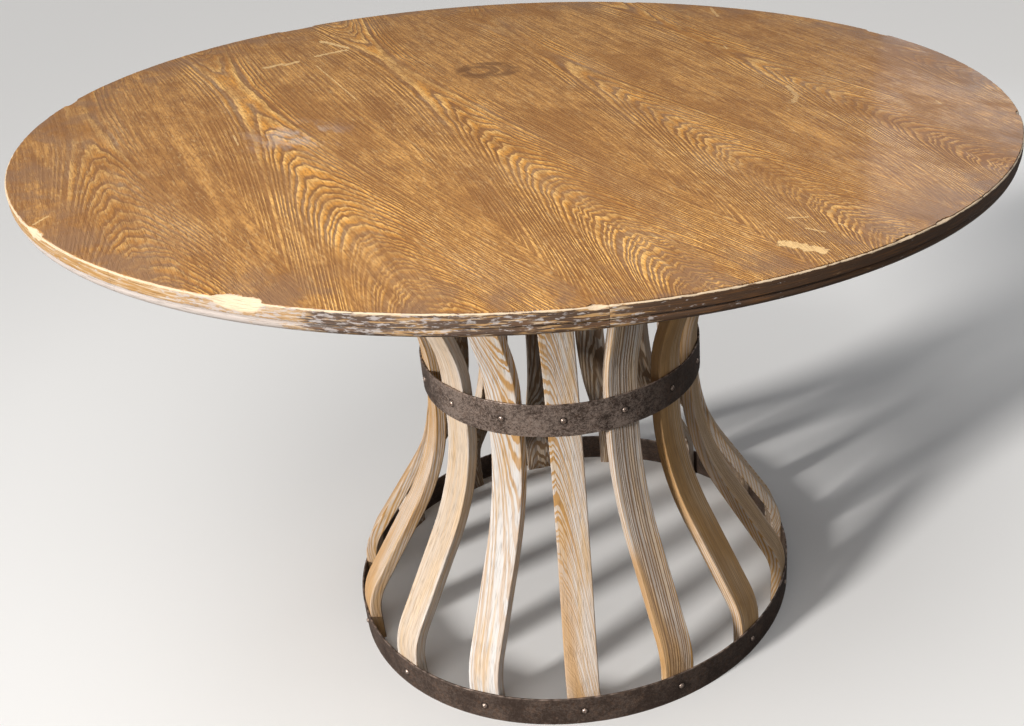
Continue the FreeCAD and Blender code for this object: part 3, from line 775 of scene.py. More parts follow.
# Wear round the edge of the top
Chip = namedtuple("Chip", "turn half_length bite drop")
Aging = namedtuple("Aging", "everywhere side front patchy pace seed")
CHIPS = (
    Chip(math.radians(-25.0), 25 * MM, 8 * MM, 7.5 * MM),
    Chip(math.radians(-53), 19 * MM, 4 * MM, 5 * MM),
    Chip(math.radians(4.7), 7 * MM, 3 * MM, 2.5 * MM),
    Chip(math.radians(35), 13 * MM, 2.4 * MM, 1.6 * MM),
    Chip(math.radians(40.7), 12 * MM, 2.4 * MM, 1.6 * MM),
    Chip(math.radians(78), 9 * MM, 3 * MM, 4 * MM),
    Chip(math.radians(121), 24 * MM, 5 * MM, 4 * MM),
    Chip(math.radians(166), 11 * MM, 4 * MM, 3 * MM),
    Chip(math.radians(-98), 15 * MM, 4 * MM, 3 * MM),
    Chip(math.radians(-140), 30 * MM, 6 * MM, 5 * MM),
)
# Size and pace of each layer of a chip's ragged outline
CHIP_RAGS = ((0.30, 70), (0.18, 260))
# Bare wood round a chip, as a share of the chip's depth
CHIP_FRINGE = 0.75
# Depth, pace, seed and bias of each layer of the veneer's nibbled edge
NIBBLES = ((0.9 * MM, 46, 3.1, 0.15), (0.7 * MM, 190, 7.7, 0.0))
# Depth of each layer of the rim's dents, and their pace round the table and upward
DENTS = ((0.16 * MM, 60, 300), (0.10 * MM, 260, 700))
# Two stretches of the rim that have been used hardest
WORN_SIDE = math.radians(-52)
WORN_REACH = math.radians(34)
WORN_FRONT = math.radians(-9)
WORN_FRONT_REACH = math.radians(25)
# Wear is full over the middle of such a stretch: it rises this much faster than an arch that just fills it
WORN_FULLNESS = 1.6
# How far the rim's stain is rubbed through, how far it has bloomed, and how much more so on the bead
RIM_WEAR = Aging(0.19, 0.72, 0.26, 0.16, 5, 1.3)
RIM_BLOOM = Aging(0.20, 0.13, 0.26, 0.14, 7, 8.3)
BEAD_BLOOM = Aging(0.04, 0.52, -0.06, 0.0, 0, 0.0)
# How bare the upper edge is at its fringe, and how much more at its corner
EDGE_WEAR = Aging(0.33, 0.0, 0.0, 0.14, 23, 4.4)
CORNER_WEAR = 0.40
# Width of the bare upper edge, and how much wider it is on the worn side
EDGE_WIDTH = 0.9 * MM
SIDE_WIDTH = 1.2 * MM
# Least sum of inset and drop that a point on the round upper edge has
EDGE_CORNER = 0.88 * MM


def apart(turn, other):
    """The shorter way round from one turn to another."""
    return (turn - other + math.pi) % FULL_TURN - math.pi


def chip_share(chip, turn, radius):
    """How much of a chip's full depth is gone at a turn, from 0 to about 1."""
    off = apart(turn, chip.turn) * radius / chip.half_length
    ragged = sum((size * rough(turn * pace, chip.turn) for size, pace in CHIP_RAGS), 1)
    return max(1 - off ** 4, 0) ** 0.5 * ragged


def veneer_loss(turn, radius):
    """How much of the veneer's edge has broken away at a turn."""
    nibbled = sum(depth * max(rough(turn * pace, seed) + bias, 0) for depth, pace, seed, bias in NIBBLES)
    return nibbled + max(chip.bite * chip_share(chip, turn, radius) for chip in CHIPS)


def worn_side(turn, middle, reach):
    """How hard the edge has been used at a turn, round a middle turn."""
    return min(WORN_FULLNESS * max(1 - (apart(turn, middle) / reach) ** 2, 0), 1)


def aged(aging, turn):
    """How far the finish has aged at a turn."""
    side = worn_side(turn, WORN_SIDE, WORN_REACH)
    front = worn_side(turn, WORN_FRONT, WORN_FRONT_REACH)
    patchy = aging.patchy * rough(turn * aging.pace, aging.seed)
    return aging.everywhere + aging.side * side + aging.front * front + patchy


def rim_spot(turn, radius, height, on_bead):
    """Place one point of the rim's section, dented where the edge is chipped, and say how worn it is."""
    reach, high = RIM_HIGH.x, RIM_HIGH.z
    inset, drop = reach - radius, high - height
    bared = 0.0
    for chip in CHIPS:
        gone = chip_share(chip, turn, reach)
        if gone <= 0:
            continue
        bite, fall = chip.bite * gone, chip.drop * gone
        lack = 1 - inset / bite - drop / fall
        bared = max(bared, min(lack + CHIP_FRINGE, 1.0))
        if lack > 0:
            inset += lack / 2 * bite
            drop += lack / 2 * fall
    dent = sum(depth * rough(turn * pace, height * rise) for depth, pace, rise in DENTS)
    spot = place_at(turn, reach - inset - max(dent, 0), high - drop)
    off_edge = max(max(inset, 0) + max(drop, 0) - EDGE_CORNER, 0)
    edge_width = EDGE_WIDTH + SIDE_WIDTH * worn_side(turn, WORN_SIDE, WORN_REACH)
    edge_near = max(1 - off_edge / edge_width, 0)
    edge = (edge_near > 0) * (aged(EDGE_WEAR, turn) + CORNER_WEAR * edge_near)
    bloom = aged(RIM_BLOOM, turn) + on_bead * aged(BEAD_BLOOM, turn)
    return spot, (aged(RIM_WEAR, turn), bloom, max(bared, edge))


# Pieces of the top
LEAF_STEP = 1.6 * MM
# Corners of a leaf that lie nearer than these are one, along its edge and at its seams
LEAST_STEP = LEAF_STEP / 3
LEAST_SEAM = LEAF_STEP / 100
# Where each leaf's crown runs, across the grain from the middle of the top
CROWN_AXES = (-0.512, -0.322, -0.103, 0.108, 0.346, 0.562)
# How much of its gold each leaf has kept
LEAF_GILT = (0.55, 1.0, 1.0, 0.82, 0.9, 0.7)
# How blunt a crown is, and where along the grain it turns
CROWN_TIP = 26 * MM
CROWN_CREST = 0.255
# How far apart in the log two neighbouring leaves were cut
SLICE = 3.1 * MM


def leaf_outline(first, last, reach, turn):
    """Corners of one leaf, across and along the grain, its outer edge nibbled and chipped."""
    corners = []
    low, high = math.asin(max(first / reach, -1)), math.asin(min(last / reach, 1))
    for start, end, seams in ((low, high, (first, last)), (math.pi - high, math.pi - low, (last, first))):
        steps = max(int(abs(end - start) * reach / LEAF_STEP), 2)
        ends = {0: seams[0], steps: seams[1]}
        edge = []
        for step in range(steps + 1):
            around = start + (end - start) * step / steps
            radius = reach - veneer_loss(around + turn, reach)
            across = min(max(ends.get(step, radius * math.sin(around)), -radius), radius)
            along = math.copysign(math.sqrt(max(radius ** 2 - across ** 2, 0)), -math.cos(around))
            edge.append((across, along))
        corners.append(edge[0])
        for corner in edge[1:-1]:
            if min(math.dist(corner, corners[-1]), math.dist(corner, edge[-1])) > LEAST_STEP:
                corners.append(corner)
        corners.append(edge[-1])
    return [corner for corner, after in zip(corners, corners[1:] + corners[:1])
            if math.dist(corner, after) > LEAST_SEAM]


def leaf_mesh(name, number, top):
    """One leaf of veneer, its outer edge broken and its upper edges eased."""
    reach = LEAF_HIGH.x
    width = 2 * reach / LEAF_COUNT
    first = -reach + (number - 1) * width
    corners = leaf_outline(first, first + width, reach, top.grain_turn)
    turned = Matrix.Rotation(top.grain_turn, 3, "Z")
    shape = bmesh.new()
    upper = [shape.verts.new(turned @ Vector((*corner, LEAF_HIGH.z))) for corner in corners]
    face = shape.faces.new(upper)
    made = bmesh.ops.extrude_face_region(shape, geom=[face], use_keep_orig=True)
    for item in made["geom"]:
        if isinstance(item, bmesh.types.BMVert):
            item.co.z = LEAF_LOW.z
    near_top = LEAF_HIGH.z - top.leaf_easing
    upper_edges = [edge for edge in shape.edges if all(vert.co.z > near_top for vert in edge.verts)]
    bmesh.ops.bevel(shape, geom=upper_edges, offset=top.leaf_easing, segments=2, affect="EDGES", profile=0.5,
                    clamp_overlap=True)
    bmesh.ops.recalc_face_normals(shape, faces=shape.faces)
    mesh = bpy.data.meshes.new(name)
    shape.to_mesh(mesh)
    shape.free()
    back = turned.transposed()
    flats = [back @ vert.co for vert in mesh.vertices]
    boards = [(flat.x, SLICE * number, flat.y) for flat in flats]
    pith = (CROWN_AXES[number - 1], CROWN_TIP, CROWN_CREST)
    gilt = [LEAF_GILT[number - 1]] * 3
    note_points(mesh, board=boards, pith=[pith] * len(boards), gilt=[gilt] * len(boards))
    return mesh


RIM_STEPS = 150
# How far a joint's ends are eased, and how far in from the rim's face
JOINT_EASING = 0.35 * MM
JOINT_DEPTH = 8 * MM
# Width of the rim's upper face that is finely divided, for chips
EDGE_STRIP = 12 * MM


def rim_section(top):
    """The moulding as radius and height, from the inner edge of its underside round to that of its top."""
    reach, low, high = RIM_HIGH.x, RIM_LOW.z, RIM_HIGH.z
    inner, foot, groove = reach - top.rim_width, reach - top.bead_undercut, reach - top.quirk_depth
    bead_top = low + top.bead_height
    band_low = bead_top + top.quirk_height
    soft = top.edge_round / 2
    return traced((inner, low), (
        ((foot, low), None, 4),
        ((groove, bead_top), top.bead_radius, 12),
        ((groove, band_low), None, 2),
        ((reach - soft, band_low), None, 2),
        ((reach, band_low + soft), soft, 3),
        ((reach, high - top.edge_round), None, 7),
        ((reach - top.edge_round, high), top.edge_round, 5),
        ((reach - EDGE_STRIP, high), None, 7),
        ((inner, high), None, 1)))


def rim_mesh(name, number, top):
    """One length of the rim, its edge chipped and its ends eased at the joints."""
    section = rim_section(top)
    reach, high = RIM_HIGH.x, RIM_HIGH.z
    band_low = RIM_LOW.z + top.bead_height + top.quirk_height
    sweep = FULL_TURN / RIM_COUNT
    start = top.rim_joint_turn + (number - 1) * sweep
    ease_turn = JOINT_EASING / reach
    turns = [start, start + ease_turn]
    turns += [start + sweep * step / RIM_STEPS for step in range(1, RIM_STEPS)]
    turns += [start + sweep - ease_turn, start + sweep]
    points, boards, wears = [], [], []
    for turn in turns:
        at_end = turn in (turns[0], turns[-1])
        for radius, height in section:
            inward = JOINT_EASING * at_end * (radius > reach - JOINT_DEPTH)
            spot, wear = rim_spot(turn, radius - inward, height, height < band_low)
            points.append(spot)
            boards.append((radius - reach, height - high, turn * reach))
            wears.append(wear)
    return new_mesh(name, points, skin_faces(len(turns), len(section), False), board=boards, wear=wears)


# Staves
# How a stave's crown lies in its board, how fast it opens and how wide its rings are, and then its gold,
# white wax, old stain and gold at the foot
Figure = namedtuple("Figure", "axis tip crest taper ring gold lime umber foot")
# Staves that show at the front, by number; the rest are drawn at random
FIGURES = {
    1: Figure(-0.030, 0.035, 1.15, 0.300, 2.3, 0.93, 0.95, 0.06, 1.03),
    2: Figure(0.120, 0.020, 0.40, 0.200, 1.25, 0.70, 0.80, 0.44, 1.35),
    3: Figure(0.060, 0.020, 0.30, 0.200, 1.0, 1.00, 0.05, 0.30, 1.00),
    4: Figure(-0.050, 0.020, 0.60, 0.200, 1.0, 0.96, 0.16, 0.36, 0.96),
    12: Figure(0.050, 0.024, 0.45, 0.200, 1.0, 1.00, 0.85, 0.14, 1.00),
    13: Figure(-0.036, 0.024, 0.50, 0.200, 1.0, 1.00, 0.80, 0.12, 1.00),
    14: Figure(0.060, 0.030, 0.40, 0.200, 1.0, 0.25, 0.45, 0.18, 0.25),
    15: Figure(0.020, 0.030, 0.05, 0.320, 1.9, 0.92, 1.00, 0.02, 0.34),
}
# Least and most of each for a stave that is drawn at random
FIGURE_RANGES = Figure((-0.04, 0.04), (0.03, 0.14), (0.5, 1.15), (0.08, 0.16), (0.85, 1.2), (0.4, 0.95),
                       (0.4, 0.85), (0.1, 0.4), (0.4, 0.95))
# Share of a stave's length over which the foot's gold gives way
FOOT_REACH = 0.5
STAVE_STEP = 9 * MM
BEND_STEP = math.radians(2.5)
CORNER_STEPS = 4
FACE_STEPS = 6
# How far apart along one log two neighbouring staves were cut
LOG_LENGTH = 1.7
# Depth of a planed edge's unevenness, and its pace along the stave and across it
PLANED_DEPTH = 0.35 * MM
PLANED_ALONG = 9
PLANED_ACROSS = 60
# Whitening of a stave's edges, partly wax that the sander reached less and partly a painted highlight for the
# key-lit side faces
SIDE_LIME_AND_HIGHLIGHT = 0.7
# Darkening of the inner faces, partly a guessed old stain and partly painted shade for the dark inside of the
# pedestal
INNER_STAIN_AND_SHADE = 0.7


def stave_figure(number):
    """How one stave was cut from its log, and how its finish has aged."""
    if number in FIGURES:
        return FIGURES[number]
    draw = random.Random(number)
    return Figure(*[draw.uniform(least, most) for least, most in FIGURE_RANGES])


def bends(run, rise, slant_ratio, bend_share, thickness):
    """Slant of the straight run between two bends, its length, and the two bends' radii."""
    slant = slant_ratio * math.atan(run / rise)
    both = (rise * math.sin(slant) - run * math.cos(slant)) / (1 - math.cos(slant))
    first = thickness + bend_share * (both - thickness)
    straight = (run - both * (1 - math.cos(slant))) / math.sin(slant)
    return slant, straight, first, both - first


def face_behind(hoop_reach, staves, steel):
    """Radius of a stave's outer face whose edges stand just inside a hoop."""
    edge_reach = hoop_reach - steel.hoop_thickness - staves.hoop_gap
    return math.sqrt(edge_reach ** 2 - (staves.width / 2) ** 2)


def stave_line(staves, steel):
    """A stave's outer face from the floor up: radius, height, lean towards the axis and length so far."""
    foot_face = face_behind(BASE_HIGH.x, staves, steel)
    waist_face = face_behind(WAIST_HIGH.x, staves, steel)
    foot_top = BASE_HIGH.z + staves.hoop_reveal
    waist_low, waist_high = WAIST_LOW.z - staves.hoop_reveal, WAIST_HIGH.z + staves.hoop_reveal
    head_bottom = DISC_LOW.z - staves.head_reveal
    lower, lower_straight, foot_bend, lower_waist_bend = bends(
        foot_face - waist_face, waist_low - foot_top, staves.lower_slant_ratio, staves.foot_bend_share,
        staves.thickness)
    upper, upper_straight, head_bend, upper_waist_bend = bends(
        staves.head_flare, head_bottom - waist_high, staves.upper_slant_ratio, staves.head_bend_share,
        staves.thickness)
    walk = (("line", foot_top, 0), ("bend", foot_bend, lower), ("line", lower_straight, 0),
            ("bend", lower_waist_bend, -lower), ("line", waist_high - waist_low, 0),
            ("bend", upper_waist_bend, -upper), ("line", upper_straight, 0), ("bend", head_bend, upper),
            ("line", RIM_LOW.z - head_bottom, 0))
    radius, height, lean, travelled = foot_face, 0.0, 0.0, 0.0
    line = [(radius, height, lean, travelled)]
    for kind, size, turn in walk:
        stretch = size if kind == "line" else size * abs(turn)
        steps = max(math.ceil(stretch / STAVE_STEP), math.ceil(abs(turn) / BEND_STEP), 1)
        for step in range(steps):
            middle = lean + turn / steps / 2
            chord = stretch / steps
            if turn:
                chord = 2 * size * math.sin(abs(turn) / steps / 2)
            radius -= chord * math.sin(middle)
            height += chord * math.cos(middle)
            lean += turn / steps
            travelled += stretch / steps
            line.append((radius, height, lean, travelled))
    return line


def stave_section(staves):
    """A stave's section with eased corners, as places across and inward from the outer face."""
    half, deep, ease = staves.width / 2, staves.thickness, staves.easing
    section = []
    for corner_across, corner_in, first in ((1, 1, 0.0), (-1, 1, 0.25), (-1, 0, 0.5), (1, 0, 0.75)):
        middle = Vector((corner_across * (half - ease), deep - ease if corner_in else ease))
        for step in range(CORNER_STEPS + 1):
            around = FULL_TURN * (first + 0.25 * step / CORNER_STEPS)
            section.append(middle + ease * Vector((math.cos(around), math.sin(around))))
    filled = []
    for spot, after in zip(section, section[1:] + section[:1]):
        filled.append(spot)
        on_face = (after - spot).length > 2 * ease
        if on_face:
            filled += stepped(spot, after, FACE_STEPS)[:-1]
    return filled


def stave_mesh(name, number, staves, steel):
    """One bent stave whose points know where they lie in the board it was sawn from."""
    figure = stave_figure(number)
    line, section = stave_line(staves, steel), stave_section(staves)
    turn = (number - 1) * FULL_TURN / STAVE_COUNT
    outward, sideways = facing(turn), beside(turn)
    half = staves.width / 2
    start = number * LOG_LENGTH
    points, boards = [], []
    for radius, height, lean, travelled in line:
        inward = -outward * math.cos(lean) - UP * math.sin(lean)
        outer = outward * radius + UP * height
        for across, deep in section:
            uneven = rough(travelled * PLANED_ALONG, number, across * PLANED_ACROSS)
            planed = PLANED_DEPTH * max(uneven, 0) / half
            points.append(outer + sideways * across * (1 - planed) + inward * deep)
            boards.append((across, deep, start + travelled))
    finishes = []
    for across, deep, along in boards:
        past_foot = min((along - start) / (FOOT_REACH * line[-1][-1]), 1)
        gold = figure.foot + (figure.gold - figure.foot) * past_foot
        # the edges are whitened: partly wax, partly a painted highlight; their umber is lessened to match
        on_side = abs(across) > half - staves.easing
        lime = max(figure.lime, SIDE_LIME_AND_HIGHLIGHT * on_side)
        umber = figure.umber * (1 - SIDE_LIME_AND_HIGHLIGHT * on_side)
        # the inner face is darkened: partly old stain, partly painted shade
        if deep > staves.thickness - staves.easing:
            umber = max(umber, INNER_STAIN_AND_SHADE)
        finishes.append((gold, lime, umber))
    pith = (figure.axis, figure.tip, start + figure.crest)
    growth = (figure.taper, figure.ring * staves.ring_width, 0)
    return new_mesh(name, points, skin_faces(len(line), len(section), False), board=boards,
                    pith=[pith] * len(points), growth=[growth] * len(points), finish=finishes)


# Hoops and screws
HOOP_STEPS = 600
# How far the painted shade reaches from a screw's head
SCREW_SHADE_REACH = 3 * MM
# Where the hoops are lighter and more bare towards the front, partly rubbed by handling and partly a painted
# highlight, and how much on each hoop
HANDLED_AND_LIT_SIDE = math.radians(-14)
HANDLED_AND_LIT_REACH = math.radians(60)
HANDLED_AND_LIT = {"base_hoop": 0.05, "waist_hoop": 0.80}
# Depth of each layer of a hoop's beaten face, and its pace round the hoop and upward
BEATING = ((0.30 * MM, 14, 40), (0.14 * MM, 60, 130))
# Width of a hoop's rubbed edges, the pace of their patches and how far these lean towards bare
RUB_WIDTH = 0.9 * MM
RUB_PACE = 45
RUB_BIAS = 0.25


def hoop_section(low, high, steel):
    """A hoop's strip with worn corners as radius and height, once round from its lower inner corner."""
    outer, ease = high.x, steel.hoop_easing
    inner = outer - steel.hoop_thickness
    return traced((inner + ease, low.z), (
        ((outer - ease, low.z), None, 2),
        ((outer, low.z + ease), ease, 4),
        ((outer, high.z - ease), None, 14),
        ((outer - ease, high.z), ease, 4),
        ((inner + ease, high.z), None, 2),
        ((inner, high.z - ease), ease, 4),
        ((inner, low.z + ease), None, 6),
        ((inner + ease, low.z), ease, 4)))[:-1]


def hoop_mesh(name, low, high, handled_and_lit, steel):
    """One rolled hoop: worn edges, a beaten face, painted shade round screws, a front lighter from rubbing
    and painted highlight.
    """
    section = hoop_section(low, high, steel)
    middle, seat = (low.z + high.z) / 2, steel.pan_diameter / 2
    points, wears = [], []
    for step in range(HOOP_STEPS):
        turn = FULL_TURN * step / HOOP_STEPS
        # how much lighter the front is: partly rubbed by handling, partly a painted highlight
        out, hand_and_light = facing(turn), handled_and_lit * worn_side(turn, HANDLED_AND_LIT_SIDE, HANDLED_AND_LIT_REACH)
        beside_screw = apart(turn * STAVE_COUNT, 0) / STAVE_COUNT * high.x
        for radius, height in section:
            beaten = sum(depth * rough(out.x * pace, out.y * pace, height * rise)
                         for depth, pace, rise in BEATING)
            points.append(place_at(turn, radius + min(beaten, 0), height))
            near_edge = min(height - low.z, high.z - height)
            patchy = max(rough(out.x * RUB_PACE, out.y * RUB_PACE, height) + RUB_BIAS, 0)
            worn = max(1 - near_edge / RUB_WIDTH, 0) * patchy
            past_screw = math.hypot(beside_screw, height - middle) - seat
            # the second part is painted shade round the screw's head
            wears.append((worn, min(max(1 - past_screw / SCREW_SHADE_REACH, 0), 1), hand_and_light))
    return new_mesh(name, points, skin_faces(HOOP_STEPS, len(section), True), wear=wears)


SCREW_SIDES = 40
DOME_STEPS = 9
POINT_LENGTH = 3 * MM
# Height of a pan head's edge, and the share of its radius that sits flat
PAN_EDGE = 0.1 * MM
PAN_SEAT = 0.97
# Size of the cross recess over the head's crown and at its bottom, as shares of its size at the crown
RECESS_FLARE = 1.12
RECESS_TAPER = 0.55
# Corners of a cut screw that lie nearer than this are one
WELD = 0.001 * MM


def revolved(name, profile, sides):
    """Turn a profile of radius and height, whose ends lie on the axis, about Z."""
    inner = profile[1:-1]
    points = [(0, 0, profile[0][1]), (0, 0, profile[-1][1])]
    faces = []
    for side in range(sides):
        around = FULL_TURN * side / sides
        points += [(radius * math.cos(around), radius * math.sin(around), height) for radius, height in inner]
    for side in range(sides):
        here, there = 2 + side * len(inner), 2 + (side + 1) % sides * len(inner)
        faces.append((0, here, there))
        faces += [(here + spot, here + spot + 1, there + spot + 1, there + spot)
                  for spot in range(len(inner) - 1)]
        faces.append((1, there + len(inner) - 1, here + len(inner) - 1))
    return new_mesh(name, points, faces)


def cross_cutter(steel):
    """The tapered cross that is pressed into a screw's head, standing on the head's crown."""
    near, far = steel.recess_width / 2, steel.recess_reach / 2
    corners = []
    for quarter in range(4):
        turned = Matrix.Rotation(quarter * FULL_TURN / 4, 2)
        corners += [turned @ Vector(spot) for spot in ((far, -near), (far, near), (near, near))]
    levels = ((steel.pan_height, RECESS_FLARE), (0.0, 1.0), (-steel.recess_depth, RECESS_TAPER))
    points = [(*(corner * scale), height) for height, scale in levels for corner in corners]
    return new_mesh("cross_cutter", points, skin_faces(len(levels), len(corners), False))


def screw_mesh(name, shank_length, steel):
    """One pan-head screw along Z, its head's seat at nought and its point below."""
    pan, high, shank = steel.pan_diameter / 2, steel.pan_height, steel.shank_diameter / 2
    dome = (high ** 2 + pan ** 2) / (2 * high)
    profile = [(0, -shank_length), (shank, POINT_LENGTH - shank_length), (shank, 0), (pan * PAN_SEAT, 0)]
    profile += [tuple(spot) for spot in arc((pan, PAN_EDGE), (0, high), dome, DOME_STEPS)]
    head = bpy.data.objects.new("screw_blank", revolved("screw_blank", profile, SCREW_SIDES))
    cutter = bpy.data.objects.new("cross_cutter", cross_cutter(steel))
    cutter.location.z = high
    for item in (head, cutter):
        bpy.context.scene.collection.objects.link(item)
    cut = head.modifiers.new("recess", "BOOLEAN")
    cut.object = cutter
    cut.solver = "EXACT"
    bpy.context.view_layer.update()
    driven = bpy.data.meshes.new_from_object(head.evaluated_get(bpy.context.evaluated_depsgraph_get()))
    driven.name = name
    for item in (head, cutter):
        mesh = item.data
        bpy.data.objects.remove(item)
        bpy.data.meshes.remove(mesh)
    return driven


def screw_ring(name, count, shank_length, steel, seat):
    """Copies of one screw, each set by seat(turn) and turned as its driver left it."""
    screw = screw_mesh(name + "_single", shank_length, steel)
    draw = random.Random(name)
    shape = bmesh.new()
    for number in range(count):
        first = len(shape.verts)
        shape.from_mesh(screw)
        shape.verts.ensure_lookup_table()
        driven = Matrix.Rotation(draw.uniform(0, FULL_TURN), 4, "Z")
        place = seat(number * FULL_TURN / count) @ driven
        bmesh.ops.transform(shape, matrix=place, verts=shape.verts[first:])
    bmesh.ops.remove_doubles(shape, verts=shape.verts, dist=WELD)
    mesh = bpy.data.meshes.new(name)
    shape.to_mesh(mesh)
    shape.free()
    bpy.data.meshes.remove(screw)
    smooth_mesh(mesh)
    return mesh


def radial_seat(radius, height):
    """Where a screw sits that is driven inward at a radius and a height."""
    def seat(turn):
        tilt = UP.rotation_difference(facing(turn)).to_matrix().to_4x4()
        return Matrix.Translation(place_at(turn, radius, height)) @ tilt
    return seat


def upright_seat(radius, height):
    """Where a screw sits that is driven upward at a radius and a height."""
    def seat(turn):
        return Matrix.Translation(place_at(turn, radius, height)) @ Matrix.Rotation(math.pi, 4, "X")
    return seat


# Stage
# How far the camera sees, as a multiple of the floor's radius
SIGHT = 4
FLOOR_SIDES = 96
FLOOR_DROP = 0.1 * MM
FLOOR_ROUGHNESS = 0.9
WARM = (1.0, 0.97, 0.93)
COOL = (0.84, 0.91, 1.0)
SKY = (0.97, 0.98, 1.0)
# What the lights are aimed at: the middle of the pedestal, and two places on the top
PEDESTAL_MIDDLE = Vector((0, 0, 0.5))
TOP_FRONT = (0, -0.2, 0.76)
TOP_RIGHT = (0.5, 0.1, 0.76)
KEY_DISTANCE = 6
KEY_SPREAD = math.radians(9)
FILL_SPREAD = math.radians(28)
OVERHEAD_PLACE = (-0.4, -1.0, 2.2)
OVERHEAD_SIZE = 1.6
SHEEN_PLACE = (1.55, 2.3, 1.55)
SHEEN_SIZE = 1.0
BACK_PLACES = {"back_left": (-4.2, 3.0, 2.2), "back_right": (4.2, 3.0, 2.2)}
SIDE_PLACE = (2.4, -3.6, 1.5)


def make_camera(stage):
    """The camera, where the photograph was taken from."""
    data = bpy.data.cameras.new("camera")
    data.lens = stage.focal_length
    data.shift_x = stage.shift
    data.clip_end = stage.floor_radius * SIGHT
    camera = bpy.data.objects.new("camera", data)
    camera.location = stage.camera_place
    camera.rotation_euler = (math.pi / 2 - stage.pitch, 0, -stage.heading)
    bpy.context.scene.collection.objects.link(camera)
    bpy.context.scene.camera = camera


def make_floor(stage):
    """A wide pale floor, a hair under the feet."""
    corners = [facing(FULL_TURN * step / FLOOR_SIDES) * stage.floor_radius for step in range(FLOOR_SIDES)]
    mesh = bpy.data.meshes.new("floor")
    mesh.from_pydata(corners, [], [tuple(range(FLOOR_SIDES))])
    floor = bpy.data.objects.new("floor", mesh)
    floor.location.z = -FLOOR_DROP
    bpy.context.scene.collection.objects.link(floor)
    material, wiring, shader = new_material("floor")
    seen = wiring.node("LightPath").outputs["Is Camera Ray"]
    dim = paint([value * stage.floor_bounce for value in stage.floor_colour])
    wiring.put(shader["Base Color"], wiring.blend(seen, dim, paint(stage.floor_colour)))
    shader["Roughness"].default_value = FLOOR_ROUGHNESS
    mesh.materials.append(material)


def add_light(name, kind, place, aim, strength, **settings):
    """A light at one place that is aimed at another."""
    data = bpy.data.lights.new(name, kind)
    data.energy = strength
    for setting, value in settings.items():
        setattr(data, setting, value)
    light = bpy.data.objects.new(name, data)
    light.location = place
    light.rotation_euler = (Vector(aim) - Vector(place)).to_track_quat("-Z", "Y").to_euler()
    bpy.context.scene.collection.objects.link(light)


def make_lights(stage):
    """A key from the left front, a light overhead, a panel that the top mirrors and three weak fills."""
    towards_key = place_at(-stage.key_turn, math.cos(stage.key_rise), math.sin(stage.key_rise))
    key_place = PEDESTAL_MIDDLE + KEY_DISTANCE * towards_key
    add_light("key", "SUN", key_place, PEDESTAL_MIDDLE, stage.key_strength, angle=KEY_SPREAD, color=WARM)
    add_light("overhead", "AREA", OVERHEAD_PLACE, TOP_FRONT, stage.soft_strength, size=OVERHEAD_SIZE,
              color=WARM)
    add_light("sheen", "AREA", SHEEN_PLACE, TOP_RIGHT, stage.sheen_strength, size=SHEEN_SIZE, color=COOL)
    for name, place in BACK_PLACES.items():
        add_light(name, "SUN", place, PEDESTAL_MIDDLE, stage.back_strength, angle=FILL_SPREAD)
    add_light("side", "SUN", SIDE_PLACE, PEDESTAL_MIDDLE, stage.side_strength, angle=FILL_SPREAD)


def make_sky(stage):
    """Weak light from all round, brighter where the camera sees past the floor."""
    world = bpy.data.worlds.new("studio")
    world.use_nodes = True
    wiring = Wiring(world.node_tree)
    seen = wiring.node("LightPath").outputs["Is Camera Ray"]
    brightness = wiring.ease(seen, 0.0, 1.0, stage.sky_strength, stage.backdrop)
    background = world.node_tree.nodes["Background"].inputs
    wiring.put(background["Strength"], brightness)
    background["Color"].default_value = paint(SKY)
    bpy.context.scene.world = world
    bpy.context.scene.view_settings.view_transform = "Standard"


# Operators, one for each piece or group of like pieces
class BARREL_OT_leaves(bpy.types.Operator):
    """Lay the veneer leaves on the top"""
    bl_idname = "barrel.leaves"
    bl_label = "Veneer leaves"
    bl_options = {"REGISTER", "UNDO"}

    def execute(self, context):
        top = context.scene.barrel_table.top
        material = veneer_material(top)
        for number in range(1, LEAF_COUNT + 1):
            name = f"laid_leaf_{number}"
            new_piece(name, leaf_mesh(name, number, top), material, "top_veneer", f"veneer_leaf_{number}")
        return {"FINISHED"}


class BARREL_OT_rim(bpy.types.Operator):
    """Fit the moulded rim round the top"""
    bl_idname = "barrel.rim"
    bl_label = "Moulded rim"
    bl_options = {"REGISTER", "UNDO"}

    def execute(self, context):
        top = context.scene.barrel_table.top
        material = rim_material(top)
        for number in range(1, RIM_COUNT + 1):
            name = f"moulded_rim_{number}"
            new_piece(name, rim_mesh(name, number, top), material, "rim_wood", f"rim_segment_{number}")
        return {"FINISHED"}


class BARREL_OT_staves(bpy.types.Operator):
    """Stand the bent staves in their ring"""
    bl_idname = "barrel.staves"
    bl_label = "Bent staves"
    bl_options = {"REGISTER", "UNDO"}

    def execute(self, context):
        table = context.scene.barrel_table
        material = stave_material(table.staves)
        for number in range(1, STAVE_COUNT + 1):
            name = f"bent_stave_{number:02d}"
            mesh = stave_mesh(name, number, table.staves, table.steel)
            new_piece(name, mesh, material, "stave_wood", f"stave_{number:02d}")
        return {"FINISHED"}


class BARREL_OT_hoops(bpy.types.Operator):
    """Roll the two steel hoops"""
    bl_idname = "barrel.hoops"
    bl_label = "Steel hoops"
    bl_options = {"REGISTER", "UNDO"}

    def execute(self, context):
        steel = context.scene.barrel_table.steel
        material = steel_material(steel, "hoop_steel", shine=0.14, polish=0.0)
        for node, handled_and_lit in HANDLED_AND_LIT.items():
            name = "rolled_" + node
            low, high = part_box(node)
            new_piece(name, hoop_mesh(name, low, high, handled_and_lit, steel), material, "hoop_steel", node)
        return {"FINISHED"}


